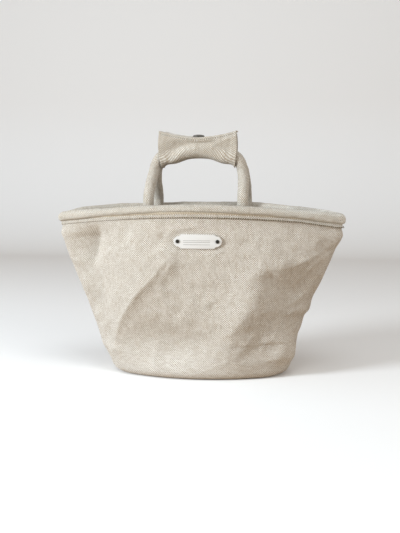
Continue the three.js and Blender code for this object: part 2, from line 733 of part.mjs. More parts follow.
function snapHole(level) {
  const depth = 4 * COVER_CLOTH;
  const tool = new THREE.CylinderGeometry(SNAP_HOLE_RADIUS, SNAP_HOLE_RADIUS, depth, ROUND_SIDES);
  return upright(tool, level);
}

// Domed cap with a shank that goes through the flap
function snapCap() {
  const shank = COVER_CLOTH + CLEARANCE + capLift;
  return lathe([
    [0, -shank],
    [SNAP_SHANK_RADIUS, -shank],
    [SNAP_SHANK_RADIUS, 0],
    [SNAP_CAP_RADIUS, 0],
    ...domeProfile(SNAP_CAP_RADIUS, SNAP_CAP_HEIGHT - SNAP_CAP_EDGE, SNAP_CAP_EDGE),
  ]);
}

// Foot disc and knob that the socket closes over
function snapStud() {
  const knobBottom = SNAP_PLATE_THICKNESS + CLEARANCE + SNAP_REACH - SNAP_KNOB_HEIGHT;
  return lathe([
    [0, 0],
    [SNAP_RING_RADIUS, 0],
    [SNAP_RING_RADIUS, SNAP_PLATE_THICKNESS],
    [SNAP_NECK_RADIUS, SNAP_PLATE_THICKNESS],
    [SNAP_NECK_RADIUS, knobBottom],
    ...domeProfile(SNAP_KNOB_RADIUS, SNAP_KNOB_HEIGHT, knobBottom),
  ]);
}

// Foot disc under the underlap with a shank up through it
function snapPost() {
  return lathe([
    [0, -SNAP_PLATE_THICKNESS],
    [SNAP_RING_RADIUS, -SNAP_PLATE_THICKNESS],
    [SNAP_RING_RADIUS, 0],
    [SNAP_SHANK_RADIUS, 0],
    [SNAP_SHANK_RADIUS, COVER_CLOTH + CLEARANCE],
    [0, COVER_CLOTH + CLEARANCE],
  ]);
}

function buildWrap() {
  const flapBottom = wrapTop(0);
  const flapTop = flapBottom + COVER_CLOTH;
  const underTop = underlapTop(0);
  const underBottom = underTop - COVER_CLOTH;
  addPiece('grip_wrap', cut(sheetAlongX(wrapLine), [snapHole(underTop)]), fineLinen);
  addPiece('wrap_flap', cut(sheetAlongX(flapLine), [snapHole(flapTop)]), fineLinen);
  addPiece('snap_cap', upright(snapCap(), flapTop + capLift + CLEARANCE), steel);
  const ring = washer(SNAP_RING_RADIUS, SNAP_BORE_RADIUS, SNAP_RING_HEIGHT);
  addPiece('snap_socket', ring.translate(SNAP_X, 0, flapBottom - CLEARANCE - SNAP_RING_HEIGHT), steel);
  addPiece('snap_stud', upright(snapStud(), underTop + CLEARANCE), steel);
  addPiece('snap_post', upright(snapPost(), underBottom - CLEARANCE), steel);
}

buildBody();
buildRim();
buildHandles();
buildPlate();
buildWrap();

export default bag;
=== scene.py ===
# Market bag: a linen bag on a flat oval base, with a corded rim, two tube handles and a snapped grip wrap.
# Metres, +Z up, front towards -Y, origin under the middle of the base.

import json
import math
from contextlib import contextmanager
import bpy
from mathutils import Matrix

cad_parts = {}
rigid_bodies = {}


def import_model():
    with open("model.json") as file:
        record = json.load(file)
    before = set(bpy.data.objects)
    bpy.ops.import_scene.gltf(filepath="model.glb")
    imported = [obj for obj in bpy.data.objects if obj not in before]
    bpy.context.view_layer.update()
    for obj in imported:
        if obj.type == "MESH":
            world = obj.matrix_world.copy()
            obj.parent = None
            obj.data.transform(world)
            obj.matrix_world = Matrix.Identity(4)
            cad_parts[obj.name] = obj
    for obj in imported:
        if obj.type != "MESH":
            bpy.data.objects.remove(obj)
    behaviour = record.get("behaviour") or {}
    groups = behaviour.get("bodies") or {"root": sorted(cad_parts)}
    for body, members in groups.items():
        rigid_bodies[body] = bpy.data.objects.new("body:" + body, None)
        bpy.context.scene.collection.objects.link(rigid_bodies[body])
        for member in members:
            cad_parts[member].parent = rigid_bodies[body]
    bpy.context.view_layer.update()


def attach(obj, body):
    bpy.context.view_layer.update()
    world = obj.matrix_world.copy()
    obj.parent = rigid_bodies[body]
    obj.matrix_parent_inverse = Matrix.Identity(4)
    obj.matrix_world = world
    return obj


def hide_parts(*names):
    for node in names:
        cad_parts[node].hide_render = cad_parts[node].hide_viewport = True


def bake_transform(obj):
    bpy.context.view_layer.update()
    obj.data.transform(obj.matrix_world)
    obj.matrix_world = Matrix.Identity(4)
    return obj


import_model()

from types import SimpleNamespace

import bmesh
import bpy
import numpy as np
from mathutils import Matrix, Vector, noise

# Sizes of the bag body
CLEARANCE = 0.0003
BASE_HALF_WIDTH = 0.131
BASE_HALF_DEPTH = 0.074
BASE_END_RADIUS = 0.058
MOUTH_HALF_WIDTH = 0.208
MOUTH_HALF_DEPTH = 0.066
MOUTH_END_RADIUS = 0.012
RIM_LEVEL = 0.2425
RIM_DROOP = 0.015
SHOULDER_OUT = 0.010
BELLY_OUT = 0.003
BASE_EDGE_RADIUS = 0.012
PANEL_THICKNESS = 0.0018
BASE_CLOTH = 0.0018
BASE_BOARD = 0.0025
BINDING_THICKNESS = 0.0015
BASE_BINDING_HEIGHT = 0.009
SEAM_BINDING_WIDTH = 0.010
SEAM_BINDING_THICKNESS = 0.0024
SEAM_BINDING_GIRTH = 0.024

# Sizes of the rim, facing and handles
RIM_CORD_RADIUS = 0.006
COVER_CLOTH = 0.0012
RIM_STRIP = 0.005
FACING_HEIGHT = 0.044
HANDLE_RADIUS = 0.008
HANDLE_FOOT_X = 0.068
HANDLE_RISE = 0.073
HANDLE_SHOULDER_IN = 0.012
HANDLE_LEAN_HEIGHT = 0.050
HANDLE_PARTING = 0.001
FOLD_ABOVE_RIM = 0.004
TAB_HALF_WIDTH = 0.013
TAB_THICKNESS = 0.005
TAB_LENGTH = 0.034

# Sizes of the name plate and its pins
PLATE_X = 0.004
PLATE_DROP = 0.0435
PLATE_THICKNESS = 0.0016
PLATE_BEVEL = 0.0004
RULE_DROPS = (-0.0012, 0.0012, 0.0044)
RULE_HALF_LENGTH = 0.019
RULE_HALF_WIDTH = 0.00022
PIN_SPACING = 0.0564
PIN_HEAD_RADIUS = 0.0027
PIN_HEAD_HEIGHT = 0.001
PIN_ROUNDING = 0.0004
PIN_WELL_RADIUS = 0.001
PIN_WELL_DEPTH = 0.0014
PIN_SHANK_RADIUS = 0.0013
PIN_TAIL_RADIUS = 0.0023
PIN_TAIL_HEIGHT = 0.0006
PIN_WASHER_THICKNESS = 0.0008

# Sizes of the grip wrap and its snap
WRAP_HALF_LENGTH = 0.0565
WRAP_END_TAPER = 0.0025
HEM = 0.009
WRAP_EASE = 0.0003
WRAP_TOP_HALF_DEPTH = 0.0185
WRAP_SLACK = 0.0105
WRAP_SAG = 0.0087
WRAP_CORNER_RADIUS = 0.0035
UNDERLAP_EDGE = 0.010
FLAP_EDGE = 0.012
LIP_RADIUS = 0.0018
FLAP_FOLD = 0.005
LIP_DROP = 0.0025
SNAP_X = -0.003
SNAP_CAP_RADIUS = 0.0085
SNAP_CAP_HEIGHT = 0.0032
SNAP_CAP_EDGE = 0.001
SNAP_RING_RADIUS = 0.0056
SNAP_BORE_RADIUS = 0.0033
SNAP_KNOB_RADIUS = 0.0026
SNAP_KNOB_HEIGHT = 0.0009
SNAP_NECK_RADIUS = 0.0022
SNAP_REACH = 0.0017
SNAP_RING_HEIGHT = 0.0024
SNAP_PLATE_THICKNESS = 0.0007
SNAP_SHANK_RADIUS = 0.0018

# Sizes that follow from these
facing_offset = -(PANEL_THICKNESS + CLEARANCE)
cover_leg_inner = facing_offset - COVER_CLOTH - CLEARANCE
cover_leg_outer = CLEARANCE
rim_offset = (cover_leg_outer + cover_leg_inner) / 2
roll_radius = RIM_CORD_RADIUS + CLEARANCE + COVER_CLOTH
panel_top = RIM_LEVEL - roll_radius
strip_bottom = panel_top - RIM_STRIP
facing_bottom = panel_top - FACING_HEIGHT
fold_level = RIM_LEVEL + roll_radius + FOLD_ABOVE_RIM
crown_level = fold_level + HANDLE_RISE
crown_depth = HANDLE_RADIUS + HANDLE_PARTING / 2
plate_level = RIM_LEVEL - PLATE_DROP
board_bottom = BASE_CLOTH + CLEARANCE
inner_base_bottom = board_bottom + BASE_BOARD + CLEARANCE
inner_base_top = inner_base_bottom + COVER_CLOTH
washer_offset = cover_leg_inner - PIN_WASHER_THICKNESS
pin_x = PIN_SPACING / 2

FRONT = -1
BACK = 1
LEFT = -1
RIGHT = 1

# How the slack cloth hangs, in metres. A lift of the back rim has its place, its reach and its height.
SWAY = 0.0026
LINE_LIFT = 0.0016
LINE_SAG = 1.8
LINE_SAG_FROM = 0.140
LINE_SAG_OVER = 0.060
TUCK = 0.0026
TUCK_X = -0.010
TUCK_REACH = 0.100
RIM_END_SWELL = 0.0026
RIM_SWELL_FROM = 0.135
RIM_SWELL_OVER = 0.055
RIM_PRESSED_IN = 0.0011
RIM_PRESS_WIDTH = 0.0012
RIM_WRINKLE = 0.0005
RIM_WAVE = 0.0007
RIM_FULLNESS = 0.0004
RIM_HELD_OVER = 0.008
BACK_LIFTS = ((-0.150, 0.055, 0.004), (0.110, 0.070, 0.0024))
BACK_LIFT_FROM = 0.17
BACK_LIFT_OVER = 0.07
BACK_LIFT_END = 0.022
INNER_BASE_BULGE = 0.0008
HANDLE_WRINKLE = 0.00035
HANDLE_WAVE = 0.0005
WRAP_DRAWN_IN = 0.004
WRAP_BULGE = 0.001
WRAP_BACK_SHIFT = 0.0018
WRAP_CORNER_SAG = 0.0063
SAG_X = 0.039
SAG_REACH = 0.017
LIP_DIP = 0.0014
LIP_DIP_REACH = 0.012
FLAP_PUFF = 0.0006

# How the cloth is held and crumpled, in millimetres. A crumple has its height, its size and its seed.
HELD_BY_RIM = 30
HELD_BY_BASE = 26
HELD_BY_SEAM = 22
HELD_BY_PLATE = (38, 15)
SEAM_REACH = 34
SLACK_UNDER_RIM = 14
GATHER_HEIGHT = 0.9
GATHER_WIDTH = 4.5
GATHER_REACH = 16
CREASE_HEIGHT = 2.2
CREASE_SIZE = 32
CRUMPLES = ((1.4, 45, 1), (1.1, 14, 2), (0.3, 6, 3))
WRAP_CRUMPLE = 0.7
WRAP_FINE_CRUMPLE = 0.35
HEM_RISE = 0.6

# Fineness of the meshes
PANEL_ROWS = 112
PANEL_COLUMNS = 214
RIM_COLUMNS = 260
WRAP_COLUMNS = 110
WRAP_ROWS = 96
FLAP_COLUMNS = 96
FLAP_ROWS = 30
TAB_RINGS = 22
HANDLE_RINGS = 150
HANDLE_SIDES = 32

# Stitches
STITCH_PROUD = 0.0001
FLAP_STITCH_PROUD = 0.0008
RIM_ROW_UP = 0.0009
FACING_ROW_UP = 0.003
TAB_ROW_INSET = 0.0035
HEM_ROW_INSET = 0.0075

# Weave: how the threads bend, pass under each other, thicken and change in tone
THREAD_BEND = 1.6
THREAD_UNDER = 0.55
CLOSENESS = (1.0, 1.15)
SLUBS_PER_METRE = 110.0
SLUB_SPREAD = 2.2
SLUB_TONE = 1.2
BLOTCHES_PER_METRE = 28.0
BLOTCH_TONE = 0.25
TONE_REACH = 1.6

# Lamps, each with its place, size, power and colour, and the sky
LAMPS = {
    "window": ((-1.74, -1.22, 0.8), 0.7, 55, (0.9, 0.96, 1.0)),
    "ceiling": ((0.3, -0.9, 2.2), 1.2, 10, (0.98, 1.0, 1.0)),
    "fill": ((1.7, -1.2, 0.7), 0.9, 13, (1.0, 0.93, 0.84)),
}
LAMP_AIM = (0, 0, 0.16)
SKY_COLOUR = (1.0, 0.99, 0.975, 1.0)
SKY_STRENGTH = 0.46

# Camera
CAMERA_LENS = 54.0
CAMERA_AZIMUTH = math.radians(7.0)
CAMERA_DISTANCE = 1.187
CAMERA_HEIGHT = 0.2927
CAMERA_TARGET = (-0.0011, 0.0, 0.1558)

# Colours, as red, green and blue from 0 to 255
LINEN = (212, 205, 194)
COVER_LINEN = (177, 175, 167)
LINEN_DARK = (166, 150, 129)
LINEN_PALE = (247, 246, 241)
COVER_PALE = (225, 224, 218)
TAPE = (203, 194, 172)
TAPE_DARK = (180, 168, 142)
TAPE_PALE = (220, 213, 196)
COTTON = (226, 220, 206)
# Painted shade in the grooves of the twisted cord
COTTON_GROOVE_SHADE = (196, 186, 166)
BOARD = (165, 142, 108)
BOARD_DARK = (140, 118, 88)
ENAMEL = (211, 211, 209)
ENAMEL_WORN = (206, 202, 193)
PLATE_INK = (92, 90, 86)
STEEL = (128, 126, 120)
DARK_STEEL = (74, 70, 64)
THREAD = (222, 214, 196)
THREAD_DARK = (190, 180, 158)
THREAD_PALE = (236, 230, 216)
# Painted shade of the needle holes
HOLE_SHADE = (92, 80, 62)
HOLE_SHADE_DARK = (58, 48, 36)
BACKDROP = (248, 250, 252)
BACKDROP_BOUNCE = (176, 153, 127)


def mix(first, second, share):
    return first + (second - first) * share


def ease(share):
    held = np.clip(share, 0, 1)
    return held * held * (3 - 2 * held)


def linear(colour):
    """A colour written from 0 to 255, as Blender's linear colour."""
    shares = [part / 255 for part in colour]
    curved = [s / 12.92 if s <= 0.04045 else ((s + 0.055) / 1.055) ** 2.4 for s in shares]
    return (*curved, 1.0)


# Shape of the wall
def plan_at(level):
    """The bag's plan at one height: two arcs that meet at round ends."""
    share = np.clip(level / RIM_LEVEL, 0, 1)
    swell = SHOULDER_OUT * np.sin(math.pi * share**3)
    half_width = mix(BASE_HALF_WIDTH, MOUTH_HALF_WIDTH, share) + swell
    half_depth = mix(BASE_HALF_DEPTH, MOUTH_HALF_DEPTH, share) + BELLY_OUT * np.sin(math.pi * share)
    end_radius = mix(BASE_END_RADIUS, MOUTH_END_RADIUS, share)
    chord = half_width - end_radius
    rise = half_depth - end_radius
    arc_radius = (chord**2 + rise**2) / (2 * rise)
    return SimpleNamespace(
        end_radius=end_radius,
        chord=chord,
        rise=rise,
        arc_radius=arc_radius,
        arc_turn=np.arcsin(chord / arc_radius),
    )


def wall_point(side, turn, level, offset):
    """A point of the wall, turn being the angle of its outward normal from straight forwards."""
    plan = plan_at(level)
    reach = plan.end_radius + offset
    on_arc = np.abs(turn) <= plan.arc_turn
    arc_x = (plan.arc_radius + reach) * np.sin(turn)
    end_x = np.sign(turn) * plan.chord + reach * np.sin(turn)
    x = np.where(on_arc, arc_x, end_x)
    arc_out = (plan.arc_radius + reach) * np.cos(turn) - (plan.arc_radius - plan.rise)
    out = np.where(on_arc, arc_out, reach * np.cos(turn))
    droop = RIM_DROOP * (level / RIM_LEVEL) ** 2 * (x / MOUTH_HALF_WIDTH) ** 2
    if side == BACK:
        droop = droop - back_lift(x) * ease((level - BACK_LIFT_FROM) / BACK_LIFT_OVER)
    return np.stack(np.broadcast_arrays(x, side * (out + CLEARANCE / 2), level - droop), axis=-1)


def back_lift(x):
    """How far the rim at the back stands higher than the rim in front."""
    lift = sum(height * np.exp(-(((x - middle) / reach) ** 2)) for middle, reach, height in BACK_LIFTS)
    return lift * ease((MOUTH_HALF_WIDTH - np.abs(x)) / BACK_LIFT_END)


def half_length(level):
    """Length of the wall from the middle of the front to a side seam, and the part of it on the arc."""
    plan = plan_at(level)
    on_arc = (plan.arc_radius + plan.end_radius) * plan.arc_turn
    return on_arc + plan.end_radius * (math.pi / 2 - plan.arc_turn), on_arc


def turn_across(level, across):
    """The wall's turn at a share of the way from the middle, 0, to a side seam, -1 or 1."""
    plan = plan_at(level)
    whole, on_arc = half_length(level)
    run = np.abs(across) * whole
    arc_turn = run / (plan.arc_radius + plan.end_radius)
    end_turn = plan.arc_turn + (run - on_arc) / plan.end_radius
    return np.sign(across) * np.where(run <= on_arc, arc_turn, end_turn)


def turn_at(x, level, offset):
    plan = plan_at(level)
    return np.arcsin(x / (plan.arc_radius + plan.end_radius + offset))


def wall_at(side, x, level, offset):
    return wall_point(side, turn_at(x, level, offset), level, offset)


# Folds of the cloth, in millimetres across from the middle and up from the table.
# A ridge is its path, its width on the left and on the right, its height and how sharp it is.
# A dent is its middle, its reach across and up, its lean in degrees and its depth.
# A ridge of negative height is a crease, and a dent of negative depth is a swelling.
LONG_FOLD = [(-24, 188), (-34, 176), (-55, 148), (-77, 124), (-99, 93), (-115, 57), (-120, 38)]
CORNER_FLAP = [(204, 198), (180, 184), (155, 171), (133, 163), (112, 160), (98, 160), (87, 147), (83, 125),
               (80, 108), (66, 90), (54, 68), (49, 50), (54, 36), (64, 20)]
FRONT_RIDGES = [
    (LONG_FOLD, 22, 48, 14.0, 1.2),
    (LONG_FOLD, 4, 8, 1.8, 1.2),
    ([(-42, 180), (-30, 179), (-27, 170), (-35, 160)], 3, 3, 1.3),
    ([(-31, 167), (-40, 152), (-45, 138), (-45, 123), (-38, 108), (-40, 88)], 9, 5, 2.6),
    ([(-146, 226), (-151, 206), (-158, 184), (-165, 158)], 15, 32, -21.0),
    ([(-88, 224), (-97, 209), (-108, 194)], 7, 16, -2.6),
    ([(-74, 236), (-84, 222), (-92, 208)], 6, 7, 1.8, 1.3),
    ([(-32, 226), (-38, 208), (-48, 192), (-58, 182)], 5, 10, -2.0),
    (CORNER_FLAP, 26, 40, 9.0, 1.8),
    (CORNER_FLAP[6:], 46, 24, 7.5, 1.7),
    (CORNER_FLAP[:5], 4, 9, 2.4, 1.3),
    ([(140, 138), (158, 156), (182, 178)], 4, 4, 1.7),
    ([(130, 104), (142, 113), (156, 122)], 4, 6, 2.8),
    ([(126, 90), (138, 97), (152, 103)], 3, 4, 1.8),
]
FRONT_DENTS = [
    ((-82, 174), (26, 30), 20, -4.0),
    ((-146, 140), (24, 44), 14, 9.0),
    ((-138, 90), (20, 32), 14, 6.0),
    ((-26, 52), (58, 26), 0, 10.5),
    ((106, 150), (9, 8), 0, 3.2),
    ((122, 168), (9, 6), 0, -1.8),
    ((138, 132), (24, 30), 0, 4.0),
    ((124, 44), (22, 30), 16, -9.0),
]
for place_x, pucker_depth in ((80, 2.2), (110, 2.4), (143, 2.6), (196, 3.0)):
    FRONT_DENTS.append(((place_x, 228 - (place_x / 53) ** 2), (8, 13), 0, pucker_depth))
BACK_RIDGES = [
    ([(126, 214), (96, 172), (86, 120), (104, 66)], 30, 14, 6.5, 1.2),
    ([(-160, 205), (-112, 176), (-74, 128), (-60, 58)], 14, 34, 7.0, 1.2),
    ([(18, 158), (6, 116), (12, 74)], 12, 8, 2.6),
    ([(-30, 224), (-26, 200), (-36, 176)], 8, 9, 1.8),
]
BACK_DENTS = [
    ((-118, 104), (30, 42), -18, 8.0),
    ((58, 92), (28, 36), 10, 4.0),
    ((0, 84), (110, 34), 0, 3.5),
    ((10, 30), (130, 15), 0, -2.5),
]
WRAP_RIDGES = [
    ([(-56, 318), (-40, 325), (-24, 333), (-4, 339), (18, 338), (38, 330), (56, 320)], 9, 6, -3.4, 1.7),
    ([(-52, 312), (-38, 317), (-22, 326), (-2, 331), (16, 329)], 5, 5, 1.6),
    ([(-50, 352), (-34, 347), (-16, 342)], 4, 4, 1.3),
    ([(-16, 349), (-8, 343), (4, 338)], 3, 3, 1.0),
    ([(52, 348), (36, 340), (20, 334)], 4, 5, 1.3),
    ([(46, 318), (30, 325), (12, 328)], 4, 4, 1.0),
    ([(-44, 330), (-47, 318), (-46, 308)], 3, 3, 1.0),
]
WRAP_DENTS = [((-34, 332), (15, 8), 20, 2.2)]


def along_path(x, z, path):
    """Signed distance from a path, positive on its right, and the share of the way along it."""
    lengths = [math.dist(a, b) for a, b in zip(path, path[1:])]
    whole = sum(lengths)
    best = np.full(x.shape, np.inf)
    signed = np.zeros(x.shape)
    share = np.zeros(x.shape)
    done = 0.0
    for (ax, az), (bx, bz), length in zip(path, path[1:], lengths):
        across = (bx - ax) / length
        up = (bz - az) / length
        run = (x - ax) * across + (z - az) * up
        held = np.clip(run, 0, length)
        gap = np.hypot(x - ax - held * across, z - az - held * up)
        beside = (x - ax) * up - (z - az) * across
        nearer = gap < best
        best = np.where(nearer, gap, best)
        signed = np.where(nearer, np.where(beside >= 0, gap, -gap), signed)
        share = np.where(nearer, (done + held) / whole, share)
        done += length
    return signed, share


def ridge(x, z, path, left, right, height, sharpness=1.5):
    """A fold that stands up along a path, with its own width on each side, and dies out at its ends."""
    signed, share = along_path(x, z, path)
    width = np.where(signed >= 0, right, left)
    flank = np.exp(-((np.abs(signed) / width) ** sharpness))
    return height * flank * np.sin(math.pi * np.clip(share, 0.04, 0.96)) ** 0.5


def dent(x, z, middle, reach, lean, depth):
    """A soft dent round its middle."""
    turn = math.radians(lean)
    across = (x - middle[0]) * math.cos(turn) + (z - middle[1]) * math.sin(turn)
    up = (z - middle[1]) * math.cos(turn) - (x - middle[0]) * math.sin(turn)
    return -depth * np.exp(-((across / reach[0]) ** 2 + (up / reach[1]) ** 2))


def folds_at(x, z, ridges, dents):
    """How far all the folds together stand out at each place."""
    return sum(ridge(x, z, *fold) for fold in ridges) + sum(dent(x, z, *fold) for fold in dents)


# How far each side seam stands out of the smooth wall, in millimetres, at heights over the table
LEFT_SEAM = [(0, 0), (22, 0), (45, 2.3), (87, 4.5), (110, 3.5), (136, 4.2), (160, 2.5), (194, 1), (205, 3),
             (222, 1.3), (230, 0)]
RIGHT_SEAM = [(0, 0), (27, -0.5), (50, -4.6), (61, -5.2), (70, -3.8), (86, -5.2), (96, -1.4), (113, -3.8),
              (138, -2), (160, -2.8), (182, -2.8), (206, 3), (230, 0)]


def seam_slack(turn, z):
    """How far the cloth near a side seam stands out, in millimetres."""
    slack = np.zeros(np.broadcast(turn, z).shape)
    for direction, places in ((LEFT, LEFT_SEAM), (RIGHT, RIGHT_SEAM)):
        here = np.zeros(slack.shape)
        for (low, first), (high, second) in zip(places, places[1:]):
            share = ease((z - low) / (high - low))
            here = np.where((z >= low) & (z < high), mix(first, second, share), here)
        slack += np.where(np.sign(turn) == direction, here, 0)
    return slack


def waviness(points, size, seed):
    """Smooth noise from -1 to 1 at each point, for features of about the given size."""
    flat = points.reshape(-1, 3)
    shift = Vector((seed * 7.3, seed * 3.1, seed * 5.7))
    values = [noise.noise(Vector(point) / size + shift) for point in flat.tolist()]
    return np.array(values).reshape(points.shape[:-1])


def relief(side, turn, level):
    """How far the slack cloth of a panel stands out of the smooth wall, in metres."""
    smooth = wall_point(side, turn, level, 0)
    x = smooth[..., 0] * 1000
    z = smooth[..., 2] * 1000
    ridges, dents = (FRONT_RIDGES, FRONT_DENTS) if side == FRONT else (BACK_RIDGES, BACK_DENTS)
    folds = folds_at(x, z, ridges, dents)
    for height, size, seed in CRUMPLES:
        folds += height * waviness(smooth, size / 1000, seed)
    folds += CREASE_HEIGHT * (0.2 - np.abs(waviness(smooth, CREASE_SIZE / 1000, 9)))
    under_rim = (strip_bottom - level) * 1000
    gathers = np.cos(x / GATHER_WIDTH + 2.5 * waviness(smooth, 0.04, 4))
    folds += GATHER_HEIGHT * gathers * np.exp(-np.abs(under_rim) / GATHER_REACH)
    at_rim = ease(under_rim / HELD_BY_RIM + 0.15)
    at_base = ease((level * 1000 - 5) / HELD_BY_BASE)
    plan = plan_at(level)
    at_seam = ease((np.pi / 2 - np.abs(turn)) * 1000 * plan.end_radius / HELD_BY_SEAM)
    beside_seam = (plan.chord + plan.end_radius) * 1000 - np.abs(x)
    slack = seam_slack(turn, z) * np.exp(-((beside_seam / SEAM_REACH) ** 2))
    slack *= ease(under_rim / SLACK_UNDER_RIM)
    across = (x - PLATE_X * 1000) / HELD_BY_PLATE[0]
    up = (z - plate_level * 1000) / HELD_BY_PLATE[1]
    at_plate = ease((np.hypot(across, up) - 0.95) / 0.4)
    return (folds * at_rim * at_base * at_seam * at_plate + slack) / 1000


# Lines and sections
def arc_points(middle, across, up, start, end, steps):
    return [(middle[0] + across * math.cos(turn), middle[1] + up * math.sin(turn))
            for turn in np.linspace(start, end, steps)]


def run_along(line):
    """How far each point of a line lies along it."""
    steps = np.linalg.norm(np.diff(np.array(line), axis=0), axis=-1)
    return np.concatenate([[0], np.cumsum(steps)])


def evenly(line, count):
    """The same line with its points an even distance apart."""
    line = np.array(line)
    along = run_along(line)
    wanted = np.linspace(0, along[-1], count)
    return np.column_stack([np.interp(wanted, along, line[:, i]) for i in (0, 1)]), wanted


def squarer(value, power):
    """A sine or cosine drawn out so that a round section turns squarer."""
    return math.copysign(abs(value) ** power, value)


# Making meshes
def smooth_faces(piece):
    piece.data.polygons.foreach_set("use_smooth", [True] * len(piece.data.polygons))
    return piece


def new_piece(name, mesh, material=None):
    piece = bpy.data.objects.new(name, mesh)
    bpy.context.scene.collection.objects.link(piece)
    if material:
        mesh.materials.append(material)
    return smooth_faces(piece)


def grid_piece(name, points, flat, material, round_and_round=False):
    """A piece skinned over rows of points. Flat says where each point lies on the cloth, in metres.
    Where the rows close on themselves, flat has one column more than points."""
    rows, columns = points.shape[:2]
    faces = []
    corners = []
    for row in range(rows - 1):
        for column in range(columns if round_and_round else columns - 1):
            after = (column + 1) % columns
            faces.append((row * columns + column, row * columns + after,
                          (row + 1) * columns + after, (row + 1) * columns + column))
            corners += [flat[row, column], flat[row, column + 1],
                        flat[row + 1, column + 1], flat[row + 1, column]]
    mesh = bpy.data.meshes.new(name)
    mesh.from_pydata(points.reshape(-1, 3).tolist(), [], faces)
    cloth = mesh.uv_layers.new(name="Cloth")
    cloth.data.foreach_set("uv", np.array(corners, dtype=np.float32).ravel())
    mesh.update()
    return new_piece(name, mesh, material)


def settle(piece):
    """Turns what the modifiers make into the piece's own plain mesh."""
    graph = bpy.context.evaluated_depsgraph_get()
    graph.update()
    made = bpy.data.meshes.new_from_object(piece.evaluated_get(graph))
    piece.modifiers.clear()
    piece.data = made
    return piece


def thicken(piece, thickness):
    """Gives a sheet its thickness, on the side that its faces turn away from."""
    wall = piece.modifiers.new("Thickness", "SOLIDIFY")
    wall.thickness = thickness
    wall.offset = -1
    return settle(piece)


@contextmanager
def reshaped(piece):
    """The piece's mesh in a form that can be changed, written back afterwards."""
    shape = bmesh.new()
    shape.from_mesh(piece.data)
    yield shape
    shape.to_mesh(piece.data)
    shape.free()


def turn_outwards(piece):
    with reshaped(piece) as shape:
        bmesh.ops.remove_doubles(shape, verts=shape.verts, dist=1e-6)
        bmesh.ops.recalc_face_normals(shape, faces=shape.faces)
    return piece


def close_ends(piece):
    with reshaped(piece) as shape:
        bmesh.ops.remove_doubles(shape, verts=shape.verts, dist=1e-7)
        bmesh.ops.holes_fill(shape, edges=[edge for edge in shape.edges if edge.is_boundary], sides=0)
    return smooth_faces(piece)


def tube(name, rings, along, radius, material):
    """A closed tube through rings of points."""
    around = np.linspace(0, 2 * math.pi * radius, rings.shape[1] + 1)
    flat = np.stack(np.meshgrid(around, along), axis=-1)
    piece = grid_piece(name, rings, flat, material, round_and_round=True)
    return turn_outwards(close_ends(piece))


def place_on(piece, body, slot, *nodes):
    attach(piece, body)
    if nodes:
        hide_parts(*nodes)
    return piece


# Cloth along the wall
def cloth_row(across, levels, run):
    """Where a row of points along the wall lies on its cloth, in metres."""
    return np.stack([across * half_length(levels)[0], np.full(len(across), run)], axis=-1)


def wall_piece(name, side, rows, flat, material, thickness):
    """A sheet skinned over rows along one side of the bag, with its faces turned outwards."""
    step = 1 if side == FRONT else -1
    piece = grid_piece(name, np.array(rows)[:, ::step], np.array(flat)[:, ::step], material)
    return thicken(piece, thickness)


def wall_sheet(name, side, profile, columns, material, thickness):
    """A sheet that follows the wall and its folds, from [offset, level] profile points."""
    across = np.linspace(-1, 1, columns)
    rows = []
    flat = []
    for (offset, level), run in zip(profile, run_along(profile)):
        levels = np.full(columns, level)
        turn = turn_across(levels, across)
        rows.append(wall_point(side, turn, levels, offset + relief(side, turn, levels)))
        flat.append(cloth_row(across, levels, run))
    return wall_piece(name, side, rows, flat, material, thickness)


def panel(side, name, material):
    radius = BASE_EDGE_RADIUS
    profile = arc_points((-radius, radius), radius, radius, -math.pi / 2, 0, 7)
    profile += [(0, level) for level in np.linspace(radius, panel_top, PANEL_ROWS)[1:]]
    return wall_sheet(name, side, profile, PANEL_COLUMNS, material, PANEL_THICKNESS)


def facing(side, name, material):
    profile = [(facing_offset, level) for level in np.linspace(facing_bottom, panel_top, 24)]
    return wall_sheet(name, side, profile, 180, material, COVER_CLOTH)


def line_lift(x):
    """How far the stitched line under the rim in front runs above its level, sagging at the right end."""
    return LINE_LIFT * (1 - LINE_SAG * ease((x - LINE_SAG_FROM) / LINE_SAG_OVER))


def pinch(side, x, offset, level):
    """How far the stitches lift the lower half of the rim roll."""
    if side == BACK or level > RIM_LEVEL or offset < rim_offset:
        return np.zeros(x.shape)
    line = line_lift(x)
    if level < panel_top:
        return line
    tuck = line + TUCK * np.exp(-(((x - TUCK_X) / TUCK_REACH) ** 2))
    return tuck * (RIM_LEVEL - level) / roll_radius


def rim_profile():
    """The section of the cloth round the rim cord, and the level where its strip meets the roll."""
    outer = cover_leg_outer + COVER_CLOTH
    inner = cover_leg_inner - COVER_CLOTH
    start = -math.acos((outer - rim_offset) / roll_radius)
    junction = RIM_LEVEL + roll_radius * math.sin(start)
    profile = [(outer, level) for level in np.linspace(strip_bottom, junction, 9)[:-1]]
    profile += arc_points((rim_offset, RIM_LEVEL), roll_radius, roll_radius, start, math.pi - start, 34)
    profile += [(inner, level) for level in np.linspace(junction, strip_bottom, 5)[1:]]
    return profile, junction


